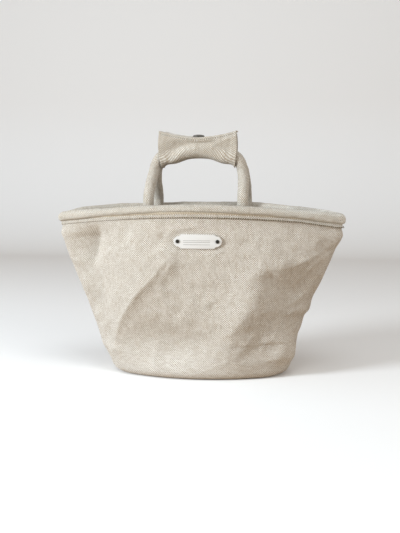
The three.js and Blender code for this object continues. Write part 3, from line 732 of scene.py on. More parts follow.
def rim_roll(side, name, material):
    """The cloth round the rim cord: a strip outside, over the cord and down inside."""
    profile, junction = rim_profile()
    across = np.linspace(-1, 1, RIM_COLUMNS)
    turn = turn_across(np.full(RIM_COLUMNS, RIM_LEVEL), across)
    rows = []
    flat = []
    for (offset, level), run in zip(profile, run_along(profile)):
        levels = np.full(RIM_COLUMNS, level)
        smooth = wall_point(side, turn, levels, offset)
        out, up = Vector((offset - rim_offset, level - RIM_LEVEL)).normalized()
        rise = RIM_WRINKLE * waviness(smooth * np.array([1.0, 1.0, 2.2]), 0.012, 5)
        rise += RIM_WAVE * waviness(smooth, 0.03, 6) + RIM_FULLNESS
        near_end = ease((np.abs(smooth[..., 0]) - RIM_SWELL_FROM) / RIM_SWELL_OVER)
        rise += RIM_END_SWELL * max(up, 0) * near_end
        rise *= ease((level - strip_bottom) / RIM_HELD_OVER)
        levels = levels + pinch(side, smooth[..., 0], offset, level)
        pressed_in = 0.0
        if offset > rim_offset:
            pressed_in = RIM_PRESSED_IN * math.exp(-(((level - junction) / RIM_PRESS_WIDTH) ** 2))
        rows.append(wall_point(side, turn, levels + up * rise, offset - pressed_in + out * rise))
        flat.append(cloth_row(across, levels, run))
    return wall_piece(name, side, rows, flat, material, COVER_CLOTH)


# Tapes, cords and base cloths
def oval_row(offset, level, columns):
    """Points round the whole bag at one height."""
    levels = np.full(columns, level)
    turn = turn_across(levels, np.linspace(-1, 1, columns))
    front = wall_point(FRONT, turn, levels, offset)
    back = wall_point(BACK, turn, levels, offset)
    return np.concatenate([front, back[::-1]])


def round_the_bag(name, profile, material):
    """A closed ring of tape or cord, from a closed profile of [offset, level] points."""
    columns = 120
    rows = [oval_row(offset, level, columns) for offset, level in profile]
    points = np.array(rows + rows[:1])
    steps = np.linspace(0, 4 * half_length(profile[0][1])[0], 2 * columns + 1)
    climbs = np.linspace(0, 0.02, len(points))
    flat = np.stack(np.meshgrid(steps, climbs), axis=-1)
    return turn_outwards(grid_piece(name, points, flat, material, round_and_round=True))


def oval_cloth(name, offset, bottom, thickness, material, bulge=0.0):
    """A flat oval of cloth that lies inside the wall, or a slightly puffed one where it has a bulge."""
    edge = oval_row(offset, 0.0, 96)[:, :2]
    rows = []
    for share in np.linspace(0.001, 1, 22):
        points = np.column_stack([edge * share, np.zeros(len(edge))])
        lift = 0.0
        if bulge:
            lift = bulge * (1 - share**2) + 0.0003 * waviness(points, 0.02, 8)
        points[:, 2] = bottom + thickness + lift
        rows.append(points)
    points = np.array(rows)
    flat = np.concatenate([points[:, :, :2], points[:, :1, :2]], axis=1)
    piece = grid_piece(name, points, flat, material, round_and_round=True)
    return thicken(piece, thickness)


def seam_tape(side, name, material):
    """The bound allowance of a side seam: a folded tape along the seam inside the bag."""
    steps = 60
    levels = np.linspace(inner_base_top + BASE_BINDING_HEIGHT + CLEARANCE, facing_bottom - CLEARANCE, steps)
    half = SEAM_BINDING_THICKNESS / 2
    seam = wall_point(FRONT, np.full(steps, math.pi / 2), levels, facing_offset)
    slack = seam_slack(np.full(steps, float(side)), seam[:, 2] * 1000) / 1000
    radius = plan_at(levels).end_radius + facing_offset
    outer = seam[:, 0] + slack - (radius - np.sqrt(radius**2 - half**2))
    turns = np.linspace(0, 2 * math.pi, 21)
    rows = []
    for turn in turns:
        inwards = SEAM_BINDING_WIDTH * (0.5 - 0.5 * squarer(math.cos(turn), 0.35))
        across = np.full(steps, half * squarer(math.sin(turn), 0.35))
        rows.append(np.column_stack([side * (outer - inwards), across, seam[:, 2]]))
    flat = np.stack(np.meshgrid(levels, np.linspace(0, SEAM_BINDING_GIRTH, len(turns))), axis=-1)
    return turn_outwards(close_ends(grid_piece(name, np.array(rows), flat, material)))


# Handles
def foot_depth():
    inside = rim_offset - roll_radius
    turn = turn_at(HANDLE_FOOT_X, RIM_LEVEL, inside)
    roll = wall_point(BACK, turn, RIM_LEVEL, inside)
    return roll[1] - (HANDLE_RADIUS + CLEARANCE) / math.cos(turn)


def handle_point(side, share):
    """The centre line of a handle, from its left foot, 0, over the crown to its right foot, 1."""
    up = 1 - abs(2 * share - 1)
    foot = fold_level + CLEARANCE / 2
    xs = (HANDLE_FOOT_X, HANDLE_FOOT_X, HANDLE_FOOT_X - HANDLE_SHOULDER_IN, 0)
    zs = (foot, crown_level, crown_level, crown_level)
    weights = ((1 - up) ** 3, 3 * (1 - up) ** 2 * up, 3 * (1 - up) * up**2, up**3)
    x = sum(w * value for w, value in zip(weights, xs))
    z = sum(w * value for w, value in zip(weights, zs))
    lean = ease((z - fold_level) / HANDLE_LEAN_HEIGHT)
    return Vector((math.copysign(x, share - 0.5), side * mix(foot_depth(), crown_depth, lean), z))


def handle_frame(side, share):
    """The centre of a handle's section, with the directions across it and forwards."""
    step = 1e-3
    tangent = handle_point(side, min(share + step, 1)) - handle_point(side, max(share - step, 0))
    tangent.normalize()
    depth = Vector((0, 1, 0)) - tangent * tangent.y
    depth.normalize()
    return handle_point(side, share), tangent.cross(depth), depth


def arch_ring(side, share, radius, sides):
    centre, across, depth = handle_frame(side, share)
    turns = np.linspace(0, 2 * math.pi, sides, endpoint=False)
    return np.array([centre + radius * (math.cos(t) * across + math.sin(t) * depth) for t in turns])


def tab_ring(side, direction, share):
    """A section of the sewn end: round at the fold, 0, and a flat tab on the facing at its end, 1."""
    rim_here = wall_at(FRONT, HANDLE_FOOT_X, RIM_LEVEL, rim_offset)[2]
    droop = RIM_LEVEL - rim_here
    strip_here = strip_bottom - droop
    z = mix(fold_level - CLEARANCE / 2, strip_here - TAB_LENGTH, share)
    flatness = float(ease((rim_here - z) / (rim_here - strip_here)))
    flat_offset = cover_leg_inner - COVER_CLOTH - CLEARANCE - TAB_THICKNESS / 2
    ring = []
    for turn in np.linspace(0, 2 * math.pi, HANDLE_SIDES, endpoint=False):
        across = direction * math.cos(turn)
        depth = math.sin(turn)
        round_x = direction * HANDLE_FOOT_X + HANDLE_RADIUS * across
        round_y = side * foot_depth() + HANDLE_RADIUS * depth
        flat_x = direction * HANDLE_FOOT_X + TAB_HALF_WIDTH * squarer(across, 0.6)
        thin = TAB_THICKNESS / 2 * squarer(depth, 0.6)
        flat = wall_at(side, flat_x, z + droop, flat_offset + side * thin)
        ring.append((mix(round_x, flat[0], flatness), mix(round_y, flat[1], flatness), z))
    return np.array(ring)


def handle(side, name, material):
    """A handle's whole cloth: a tab inside the bag, up over the fold, the arch and down again."""
    arch = np.linspace(0, 1, HANDLE_RINGS)
    rings = [tab_ring(side, LEFT, share) for share in np.linspace(1, 0.02, TAB_RINGS)]
    rings += [arch_ring(side, share, HANDLE_RADIUS, HANDLE_SIDES) for share in arch]
    rings += [tab_ring(side, RIGHT, share) for share in np.linspace(0.02, 1, TAB_RINGS)]
    points = np.array(rings)
    middle = points.mean(axis=1, keepdims=True)
    outwards = points - middle
    outwards /= np.linalg.norm(outwards, axis=-1, keepdims=True)
    wrinkles = HANDLE_WRINKLE * waviness(points * np.array([1.6, 1.0, 1.0]), 0.009, 11 + side)
    wrinkles += HANDLE_WAVE * waviness(points, 0.026, 14 + side)
    points = points + outwards * wrinkles[..., None]
    return tube(name, points, run_along(middle[:, 0]), HANDLE_RADIUS, material)


def handle_core(side, name, material):
    radius = HANDLE_RADIUS - COVER_CLOTH - CLEARANCE
    points = np.array([arch_ring(side, share, radius, 20) for share in np.linspace(0, 1, 80)])
    return tube(name, points, np.linspace(0, 0.25, len(points)), radius, material)


def main_pieces(finish):
    for side, word in ((FRONT, "front"), (BACK, "back")):
        place_on(panel(side, f"{word}_cloth", finish.linen), "bag", "panel_linen", f"{word}_panel")
        inside = facing(side, f"{word}_facing_cloth", finish.linen)
        place_on(inside, "bag", "panel_linen", f"{word}_facing")
        roll = rim_roll(side, f"{word}_rim", finish.fine_linen)
        place_on(roll, "bag", "cover_linen", f"{word}_rim_cover")
        whole = handle(side, f"{word}_handle", finish.fine_linen)
        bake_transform(whole)
        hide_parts(f"{word}_handle_cover", f"{word}_left_handle_end", f"{word}_right_handle_end")
        core = handle_core(side, f"{word}_handle_core", finish.cotton)
        place_on(core, f"{word}_handle", "cotton_cord", f"{word}_handle_cord")


def inner_face_at(level):
    """The panels' inner face round the base's edge, as an offset from their outer face."""
    below = max(BASE_EDGE_RADIUS - level, 0)
    inner_radius = BASE_EDGE_RADIUS - PANEL_THICKNESS
    return math.sqrt(inner_radius**2 - below**2) - BASE_EDGE_RADIUS


def base_tape_profile():
    """The section of the tape round the base seam, which leans with the panels' inner face."""
    bottom = inner_base_top + CLEARANCE
    lean = facing_offset - (inner_face_at(bottom) - CLEARANCE)
    middle = facing_offset - BINDING_THICKNESS / 2
    section = []
    for turn in np.linspace(0, 2 * math.pi, 20, endpoint=False):
        across = squarer(math.cos(turn), 0.4)
        up = 0.5 + 0.5 * squarer(math.sin(turn), 0.4)
        section.append((middle - lean * (1 - up) + BINDING_THICKNESS / 2 * across,
                        bottom + BASE_BINDING_HEIGHT * up))
    return section


def base_pieces(finish):
    seam_offset = -BASE_EDGE_RADIUS - CLEARANCE
    under = oval_cloth("base_cloth", seam_offset, 0, BASE_CLOTH, finish.linen)
    place_on(under, "bag", "panel_linen", "base_panel")
    inner_offset = inner_face_at(inner_base_bottom) - CLEARANCE
    inner = oval_cloth("inner_base_cloth", inner_offset, inner_base_bottom, COVER_CLOTH, finish.linen,
                       INNER_BASE_BULGE)
    place_on(inner, "bag", "panel_linen", "inner_base")
    ring = round_the_bag("base_seam_tape", base_tape_profile(), finish.tape)
    place_on(ring, "bag", "binding_tape", "base_seam_binding")
    for side, word in ((LEFT, "left"), (RIGHT, "right")):
        piece = seam_tape(side, f"{word}_seam_tape", finish.tape)
        place_on(piece, "bag", "binding_tape", f"{word}_seam_binding")
    cord = arc_points((rim_offset, RIM_LEVEL), RIM_CORD_RADIUS, RIM_CORD_RADIUS, 0, 2 * math.pi, 21)[:-1]
    place_on(round_the_bag("rim_core", cord, finish.cotton), "bag", "cotton_cord", "rim_cord")


# Grip wrap
def handle_at(x, inwards):
    """Where the back handle passes a given x, on its centre line moved inwards by a radius."""
    low = 0.5
    high = 1.0
    for _ in range(30):
        share = (low + high) / 2
        before = handle_point(BACK, max(share - 1e-3, 0))
        after = handle_point(BACK, min(share + 1e-3, 1))
        tangent = after - before
        slant = math.hypot(tangent.x, tangent.z)
        here = handle_point(BACK, share)
        here.x += inwards * tangent.z / slant
        here.z -= inwards * tangent.x / slant
        if here.x < abs(x):
            low = share
        else:
            high = share
    return here


def wrap_top(x):
    return crown_level + HANDLE_RADIUS + WRAP_SLACK + WRAP_SAG * (x / WRAP_HALF_LENGTH) ** 2


def underlap_top(x):
    return wrap_top(x) - (3 * CLEARANCE + SNAP_PLATE_THICKNESS + SNAP_RING_HEIGHT)


def wrap_line(x):
    """The grip cloth's outer face at one x, as [y, z] points: front wall, round both handles, underlap."""
    reach = HANDLE_RADIUS + CLEARANCE + WRAP_EASE + COVER_CLOTH
    drawn_in = x * (1 - WRAP_DRAWN_IN / WRAP_HALF_LENGTH)
    inner = handle_at(drawn_in, reach)
    level = handle_at(drawn_in, 0).z
    down = level - inner.z
    top = underlap_top(x)
    corner = (WRAP_TOP_HALF_DEPTH + COVER_CLOTH / 2 - WRAP_CORNER_RADIUS, top - WRAP_CORNER_RADIUS)
    return [
        (-WRAP_TOP_HALF_DEPTH - COVER_CLOTH / 2, wrap_top(x) - LIP_DROP - lip_dip(x)),
        *arc_points((-inner.y, level), reach, down, math.pi, 1.5 * math.pi, 14),
        *arc_points((inner.y, level), reach, down, 1.5 * math.pi, 2 * math.pi, 14),
        *arc_points(corner, WRAP_CORNER_RADIUS, WRAP_CORNER_RADIUS, 0, math.pi / 2, 8),
        (-UNDERLAP_EDGE, top),
    ]


def corner_sag(x):
    """How far the grip cloth hangs below the handles near its ends."""
    return WRAP_CORNER_SAG * math.exp(-(((abs(x) - SAG_X) / SAG_REACH) ** 2))


def lip_dip(x):
    """How far the flap's front edge is pulled down beside the snap."""
    return LIP_DIP * np.exp(-(((x - SNAP_X) / LIP_DIP_REACH) ** 2))


def grip_point(x, line):
    """Moves points of the grip cloth's smooth face, given as [y, z], to where its folds carry them."""
    points = np.column_stack([x, line])
    tube_level = handle_at(x[0], 0).z
    top = wrap_top(x) - LIP_DROP
    down = (top - points[:, 2]) / (top - tube_level)
    bulge = WRAP_BULGE * np.sin(math.pi * np.clip(down, 0, 1))
    taper = WRAP_END_TAPER * ease((down - 0.8) / 0.6)
    points[:, 0] += (bulge - taper) * x / WRAP_HALF_LENGTH
    points[:, 0] -= WRAP_BACK_SHIFT * ease((points[:, 1] + 0.004) / 0.02) * ease(x / 0.05)
    folds = folds_at(points[:, 0] * 1000, points[:, 2] * 1000, WRAP_RIDGES, WRAP_DENTS)
    folds *= points[:, 1] < 0
    folds += WRAP_CRUMPLE * waviness(points * np.array([0.6, 1, 1]), 0.012, 21) + 0.3
    folds += WRAP_FINE_CRUMPLE * waviness(points, 0.006, 22)
    folds += HEM_RISE * ease((np.abs(x) - WRAP_HALF_LENGTH + HEM) * 1000)
    on_walls = ease((np.abs(points[:, 1]) - 0.008) / 0.004)
    folds *= ease((top - points[:, 2]) / 0.005) * on_walls
    points[:, 1] += np.sign(points[:, 1]) * folds / 1000
    points[:, 2] -= corner_sag(x[0]) * ease((tube_level + 0.002 - points[:, 2]) / 0.010)
    return points


def wrap_sheet(name, line_at, columns, rows, shaped, material):
    """A sheet round the handles from its line at each x, shaped by a function of x and the line."""
    lines = []
    flat = []
    for x in np.linspace(-WRAP_HALF_LENGTH, WRAP_HALF_LENGTH, columns):
        line, along = evenly(line_at(x), rows)
        lines.append(shaped(np.full(rows, x), line))
        flat.append(np.column_stack([np.full(rows, x), along]))
    points = np.array(lines).transpose(1, 0, 2)
    piece = grid_piece(name, points, np.array(flat).transpose(1, 0, 2), material)
    return thicken(piece, COVER_CLOTH)


def flap_line(x):
    """The flap's outer face at one x: the top of the front wall, the fold and the way back over the top."""
    top = wrap_top(x) + COVER_CLOTH
    front = -WRAP_TOP_HALF_DEPTH - COVER_CLOTH / 2
    fold = (front + LIP_RADIUS, top - LIP_RADIUS - lip_dip(x))
    return [
        (front, wrap_top(x) - LIP_DROP - lip_dip(x)),
        *arc_points(fold, LIP_RADIUS, LIP_RADIUS, math.pi, math.pi / 2, 8),
        (-SNAP_CAP_RADIUS, top),
        (FLAP_EDGE, top),
    ]


def flap_point(x, line):
    """Moves points of the flap's smooth face, given as [y, z], to where it is puffed away from the snap."""
    points = np.column_stack([x, line])
    away = np.hypot(x - SNAP_X, points[:, 1]) / (1.4 * SNAP_CAP_RADIUS)
    behind = ease((points[:, 1] + WRAP_TOP_HALF_DEPTH - 0.002) / 0.006)
    points[:, 2] += FLAP_PUFF * (waviness(points, 0.014, 23) + 0.5) * ease(away - 0.8) * behind
    return points


def cut_size(line_at):
    """The width and longest length that a cloth round the handles was cut to, and its area."""
    places = np.linspace(-WRAP_HALF_LENGTH, WRAP_HALF_LENGTH, 41)
    lengths = [float(evenly(line_at(x), 2)[1][-1]) for x in places]
    width = 2 * WRAP_HALF_LENGTH
    return (width, max(lengths)), width * float(np.mean(lengths))


def wrap_pieces(finish):
    wrap = wrap_sheet("grip_cloth", wrap_line, WRAP_COLUMNS, WRAP_ROWS, grip_point, finish.fine_linen)
    place_on(wrap, "back_handle", "cover_linen", "grip_wrap")
    cut, area = cut_size(wrap_line)
    flap = wrap_sheet("flap_cloth", flap_line, FLAP_COLUMNS, FLAP_ROWS, flap_point, finish.fine_linen)
    hinge = (0, -WRAP_TOP_HALF_DEPTH, wrap_top(0))
    hinge[1] - 0.0004
    hinge[1] + FLAP_FOLD
    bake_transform(flap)
    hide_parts("wrap_flap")
    cut, area = cut_size(flap_line)


# Stitches
def stitch_tree():
    """Stitches along every edge line of a mesh, each a short rounded thread that dips at its ends."""
    tree, given, out = node_group(
        "Stitch rows", "GeometryNodeTree",
        [("Geometry", "Geometry", None), ("Pitch", "Float", 0.0033), ("Stitch Length", "Float", 0.0024),
         ("Thread Radius", "Float", 0.0004), ("Shift", "Float", 0.0), ("Unevenness", "Float", 0.12),
         ("Seed", "Int", 3), ("Material", "Material", None)],
        [("Geometry", "Geometry")],
    )
    radius = given["Thread Radius"]
    stretch = given["Stitch Length"] * 0.5 / radius
    line = add_node(tree, "GeometryNodeMeshToCurve", {0: given["Geometry"]})
    points = add_node(tree, "GeometryNodeCurveToPoints", {"Curve": line, "Length": given["Pitch"]},
                      mode="LENGTH")
    ball = add_node(tree, "GeometryNodeMeshUVSphere", {"Segments": 6, "Rings": 5, "Radius": radius})
    shape = add_node(tree, "ShaderNodeCombineXYZ", {0: 1.0, 1: 1.0, 2: stretch})
    place = add_node(tree, "ShaderNodeCombineXYZ", {2: given["Shift"]})
    thread = add_node(tree, "GeometryNodeTransform",
                      {"Geometry": ball, "Scale": shape, "Translation": place})
    turn = add_node(tree, "FunctionNodeAlignRotationToVector", {"Vector": points.also("Tangent")}, axis="Z")
    least = given["Unevenness"] * -1.0 + 1.0
    most = given["Unevenness"] + 1.0
    size = add_node(tree, "FunctionNodeRandomValue", {2: least, 3: most, "Seed": given["Seed"]}, 1,
                    data_type="FLOAT")
    copies = add_node(tree, "GeometryNodeInstanceOnPoints",
                      {"Points": points, "Instance": thread, "Rotation": turn, "Scale": size})
    whole = add_node(tree, "GeometryNodeRealizeInstances", {"Geometry": copies})
    coloured = add_node(tree, "GeometryNodeSetMaterial", {"Geometry": whole, "Material": given["Material"]})
    fill(out, {"Geometry": coloured})
    return tree


def stitch_rows(name, tree, lines, material, **sizes):
    """One mesh of stitches along several lines of points."""
    points = []
    edges = []
    for line in lines:
        first = len(points)
        points += [tuple(point) for point in line]
        edges += [(first + i, first + i + 1) for i in range(len(line) - 1)]
    mesh = bpy.data.meshes.new(name)
    mesh.from_pydata(points, edges, [])
    piece = new_piece(name, mesh)
    rows = piece.modifiers.new("Stitches", "NODES")
    rows.node_group = tree
    wanted = {"Material": material, **sizes}
    for socket in tree.interface.items_tree:
        if socket.in_out == "INPUT" and socket.name in wanted:
            rows[socket.identifier] = wanted[socket.name]
    return smooth_faces(settle(piece))


def wall_line(side, level, offset, rise=None):
    """A line along one side of the bag at one height, or at a height that rises by some function of x."""
    levels = np.full(300, level)
    turn = turn_across(levels, np.linspace(-0.97, 0.97, len(levels)))
    if rise:
        levels = levels + rise(wall_point(side, turn, levels, offset)[:, 0])
    return wall_point(side, turn, levels, offset + relief(side, turn, levels))


def tab_outline(side, direction):
    """The stitched box on the inner face of a handle's sewn end."""
    inner_face = cover_leg_inner - COVER_CLOTH - CLEARANCE - TAB_THICKNESS - STITCH_PROUD
    bottom = strip_bottom - TAB_LENGTH + TAB_ROW_INSET
    top = strip_bottom - TAB_ROW_INSET
    half = TAB_HALF_WIDTH - TAB_ROW_INSET
    corners = [(-half, bottom), (half, bottom), (half, top), (-half, top), (-half, bottom), (half, top)]
    line = []
    for (x0, z0), (x1, z1) in zip(corners, corners[1:]):
        for share in np.linspace(0, 1, 12)[:-1]:
            x = direction * HANDLE_FOOT_X + mix(x0, x1, share)
            line.append(wall_at(side, x, mix(z0, z1, share), inner_face))
    return line


def body_stitches(finish, tree):
    row = strip_bottom + RIM_ROW_UP
    facing_row = facing_bottom + FACING_ROW_UP
    tape_bottom = inner_base_top + CLEARANCE
    tape_row = tape_bottom + BASE_BINDING_HEIGHT / 2
    leaning = (facing_offset + inner_face_at(tape_bottom) - CLEARANCE) / 2
    thread = []
    for side, rise in ((FRONT, line_lift), (BACK, None)):
        thread += [
            wall_line(side, row, cover_leg_outer + COVER_CLOTH + STITCH_PROUD, rise),
            wall_line(side, row, cover_leg_inner - COVER_CLOTH - STITCH_PROUD),
            wall_line(side, facing_row, facing_offset - COVER_CLOTH - STITCH_PROUD),
            wall_line(side, tape_row, leaning - BINDING_THICKNESS - STITCH_PROUD),
            tab_outline(side, LEFT),
            tab_outline(side, RIGHT),
        ]
    place_on(stitch_rows("body_stitches", tree, thread, finish.thread), "bag", "cover_linen")
    # The two rows under the rim get dark pricks between their stitches: painted shade of the needle holes.
    under_rim = (thread[0], thread[len(thread) // 2])
    holes = stitch_rows("needle_holes", tree, under_rim, finish.hole,
                        **{"Stitch Length": 0.0016, "Thread Radius": 0.0008, "Shift": 0.00165})
    place_on(holes, "bag", "cover_linen")


def wrap_hem(x):
    """A line round the grip cloth at one end, just proud of its face."""
    line, _ = evenly(wrap_line(x), 90)
    middle = np.array([0, handle_at(0, 0).z])
    outwards = line - middle
    outwards /= np.linalg.norm(outwards, axis=1, keepdims=True)
    return grip_point(np.full(90, x), line + outwards * 0.0002)[4:]


def wrap_stitches(finish, tree):
    ends = (-WRAP_HALF_LENGTH + HEM_ROW_INSET, WRAP_HALF_LENGTH - HEM_ROW_INSET)
    hems = stitch_rows("wrap_stitches", tree, [wrap_hem(x) for x in ends], finish.thread, Pitch=0.003)
    place_on(hems, "back_handle", "cover_linen")
    depths = np.linspace(-WRAP_TOP_HALF_DEPTH + 0.004, FLAP_EDGE - 0.002, 12)
    lines = [[(x, y) for y in depths] for x in ends]
    lines.append([(x, FLAP_EDGE - HEM_ROW_INSET) for x in np.linspace(*ends, 60)])
    proud = COVER_CLOTH + FLAP_STITCH_PROUD
    on_top = [[(x, y, wrap_top(x) + proud) for x, y in line] for line in lines]
    rows = stitch_rows("flap_stitches", tree, on_top, finish.thread, Pitch=0.003)
    place_on(rows, "wrap_flap", "cover_linen")


# Plate and metal pieces
def lathe_piece(name, profile, material, sides=32):
    """A turned piece from [radius, height] points, about +Z."""
    turns = np.linspace(0, 2 * math.pi, sides, endpoint=False)
    rows = np.array([[(r * math.cos(t), r * math.sin(t), h) for t in turns] for r, h in profile])
    around = np.linspace(0, 2 * math.pi * SNAP_CAP_RADIUS, sides + 1)
    flat = np.stack(np.meshgrid(around, np.linspace(0, 0.01, len(rows))), axis=-1)
    return turn_outwards(grid_piece(name, rows, flat, material, round_and_round=True))


def dome(radius, height, level):
    return arc_points((0, level), radius, height, 0, math.pi / 2, 7)[:-1] + [(0, level + height)]


def stepped(*cylinders):
    """The outline of cylinders that stand on each other, from the axis on, each a radius and two levels."""
    outline = [(0, cylinders[0][1])]
    for radius, low, high in cylinders:
        outline += [(radius, low), (radius, high)]
    return outline


def front_frame(x, offset):
    """The frame of a piece that lies on the front of the bag: its x to the right, its z outwards."""
    step = 0.001
    here = Vector(wall_at(FRONT, x, plate_level, offset))
    right = (Vector(wall_at(FRONT, x + step, plate_level, offset)) - here).normalized()
    above = (Vector(wall_at(FRONT, x, plate_level + step, offset)) - here).normalized()
    out = right.cross(above).normalized()
    turned = Matrix((right, out.cross(right), out)).transposed()
    return Matrix.Translation(here) @ turned.to_4x4()


def plate_pin(name, material):
    head = PLATE_THICKNESS + CLEARANCE
    top = head + PIN_HEAD_HEIGHT
    on_wall = Vector(wall_at(FRONT, PLATE_X + pin_x, plate_level, washer_offset))
    tail = (front_frame(PLATE_X, CLEARANCE).inverted() @ on_wall).z - 2 * CLEARANCE
    return lathe_piece(name, [
        *stepped((PIN_WELL_RADIUS, top - PIN_WELL_DEPTH, top - PIN_ROUNDING)),
        (PIN_WELL_RADIUS + 0.3 * PIN_ROUNDING, top - 0.3 * PIN_ROUNDING),
        (PIN_WELL_RADIUS + PIN_ROUNDING, top),
        (PIN_HEAD_RADIUS - PIN_ROUNDING, top),
        (PIN_HEAD_RADIUS - 0.3 * PIN_ROUNDING, top - 0.3 * PIN_ROUNDING),
        (PIN_HEAD_RADIUS, top - PIN_ROUNDING),
        (PIN_HEAD_RADIUS, head),
        (PIN_SHANK_RADIUS, head),
        (PIN_SHANK_RADIUS, tail),
        (PIN_TAIL_RADIUS, tail),
        (PIN_TAIL_RADIUS, tail - PIN_TAIL_HEIGHT),
        (0, tail - PIN_TAIL_HEIGHT),
    ], material)


def bevelled_copy(node, name, width, material):
    """A copy of a stiff piece's solid with its sharp edges rounded."""
    mesh = bpy.data.objects[node].data.copy()
    mesh.materials.clear()
    piece = turn_outwards(new_piece(name, mesh, material))
    with reshaped(piece) as shape:
        bmesh.ops.dissolve_limit(shape, angle_limit=math.radians(2), verts=shape.verts, edges=shape.edges)
    edge = piece.modifiers.new("Rounding", "BEVEL")
    edge.width = width
    edge.segments = 3
    edge.limit_method = "ANGLE"
    edge.angle_limit = math.radians(50)
    return settle(piece)


def plate_pieces(finish):
    plate = bevelled_copy("name_plate", "plate", PLATE_BEVEL, finish.enamel)
    place_on(plate, "bag", "white_plate", "name_plate")
    for side, word in ((LEFT, "left"), (RIGHT, "right")):
        pin = plate_pin(f"{word}_pin", finish.dark_steel)
        pin.data.transform(front_frame(PLATE_X, CLEARANCE) @ Matrix.Translation((side * pin_x, 0, 0)))
        place_on(pin, "bag", "steel", f"{word}_plate_pin")


def snap_piece(name, body, node, level, profile, material, sides=32):
    """A turned piece of the snap, set on the snap's axis at its level."""
    piece = lathe_piece(name, profile, material, sides)
    piece.data.transform(Matrix.Translation((SNAP_X, 0, level)))
    place_on(piece, body, "steel", node)


def snap_pieces(finish):
    cap_lift = wrap_top(abs(SNAP_X) + SNAP_CAP_RADIUS) - wrap_top(0)
    cap_bottom = wrap_top(0) + COVER_CLOTH + cap_lift + CLEARANCE
    shank = COVER_CLOTH + CLEARANCE
    edge = 0.0003
    snap_piece("snap_button", "wrap_flap", "snap_cap", cap_bottom, [
        *stepped((SNAP_SHANK_RADIUS, -shank - cap_lift, 0)),
        (SNAP_CAP_RADIUS - edge, 0),
        (SNAP_CAP_RADIUS, edge),
        *dome(SNAP_CAP_RADIUS, SNAP_CAP_HEIGHT - SNAP_CAP_EDGE, SNAP_CAP_EDGE),
    ], finish.steel, 48)
    ring_bottom = wrap_top(0) - CLEARANCE - SNAP_RING_HEIGHT
    rounding = 0.0005
    snap_piece("snap_ring", "wrap_flap", "snap_socket", ring_bottom, [
        (SNAP_BORE_RADIUS, 0),
        (SNAP_RING_RADIUS - rounding, 0),
        (SNAP_RING_RADIUS, rounding),
        (SNAP_RING_RADIUS, SNAP_RING_HEIGHT - rounding),
        (SNAP_RING_RADIUS - rounding, SNAP_RING_HEIGHT),
        (SNAP_BORE_RADIUS, SNAP_RING_HEIGHT),
        (SNAP_BORE_RADIUS, 0),
    ], finish.steel)
    knob_bottom = SNAP_PLATE_THICKNESS + CLEARANCE + SNAP_REACH - SNAP_KNOB_HEIGHT
    snap_piece("snap_knob", "back_handle", "snap_stud", underlap_top(0) + CLEARANCE, [
        *stepped((SNAP_RING_RADIUS, 0, SNAP_PLATE_THICKNESS),
               (SNAP_NECK_RADIUS, SNAP_PLATE_THICKNESS, knob_bottom)),
        *dome(SNAP_KNOB_RADIUS, SNAP_KNOB_HEIGHT, knob_bottom),
    ], finish.steel)
    snap_piece("snap_foot", "back_handle", "snap_post", underlap_top(0) - COVER_CLOTH - CLEARANCE, [
        *stepped((SNAP_RING_RADIUS, -SNAP_PLATE_THICKNESS, 0), (SNAP_SHANK_RADIUS, 0, shank)),
        (0, shank),
    ], finish.steel)


# Nodes
class Wire:
    """A value that runs from one node to others, so that a calculation can be written as a sum."""

    def __init__(self, socket):
        self.socket = socket
        self.tree = socket.id_data

    def __add__(self, other):
        return maths("ADD", self, other)

    def __sub__(self, other):
        return maths("SUBTRACT", self, other)

    def __mul__(self, other):
        return maths("MULTIPLY", self, other)

    def __truediv__(self, other):
        return maths("DIVIDE", self, other)

    def also(self, output):
        """Another output of the same node."""
        return Wire(self.socket.node.outputs[output])


def fill(node, inputs):
    """Gives a node's inputs, by name or number, a wire or a constant value each."""
    for label, value in inputs.items():
        if isinstance(value, Wire):
            value.tree.links.new(value.socket, node.inputs[label])
        else:
            node.inputs[label].default_value = value


def add_node(tree, kind, inputs, output=0, **settings):
    """Adds a node and gives back the wire from one of its outputs."""
    node = tree.nodes.new(kind)
    for label, value in settings.items():
        setattr(node, label, value)
    fill(node, inputs)
    return Wire(node.outputs[output])


def node_group(name, kind, takes, gives):
    """A group of nodes with its named inputs, their wires and its output node."""
    group = bpy.data.node_groups.new(name, kind)
    add_socket = group.interface.new_socket
    for label, sort, value in takes:
        socket = add_socket(name=label, in_out="INPUT", socket_type=f"NodeSocket{sort}")
        if value is not None:
            socket.default_value = value
    for label, sort in gives:
        add_socket(name=label, in_out="OUTPUT", socket_type=f"NodeSocket{sort}")
    outputs = group.nodes.new("NodeGroupInput").outputs
    given = {label: Wire(outputs[label]) for label, _, _ in takes}
    return group, given, group.nodes.new("NodeGroupOutput")


def maths(operation, *values):
    tree = next(value.tree for value in values if isinstance(value, Wire))
    return add_node(tree, "ShaderNodeMath", dict(enumerate(values)), operation=operation)


def clamped(value):
    return add_node(value.tree, "ShaderNodeClamp", {0: value})


def axes(place):
    """The three parts of a place."""
    across = add_node(place.tree, "ShaderNodeSeparateXYZ", {0: place})
    return across, across.also(1), across.also(2)


def grain(place, scale, detail=2.0):
    """Soft noise from 0 to 1."""
    inputs = {"Vector": place, "Scale": scale, "Detail": detail}
    return add_node(place.tree, "ShaderNodeTexNoise", inputs, "Fac")


def colour_mix(share, first, second):
    """A colour between two others, which are wires or red, green and blue from 0 to 255."""
    inputs = {0: share}
    for number, colour in ((6, first), (7, second)):
        inputs[number] = linear(colour) if isinstance(colour, tuple) else colour
    return add_node(share.tree, "ShaderNodeMix", inputs, 2, data_type="RGBA")


def object_place(tree):
    return add_node(tree, "ShaderNodeTexCoord", {}, "Object")


def cloth_place(tree):
    return add_node(tree, "ShaderNodeUVMap", {}, uv_map="Cloth")


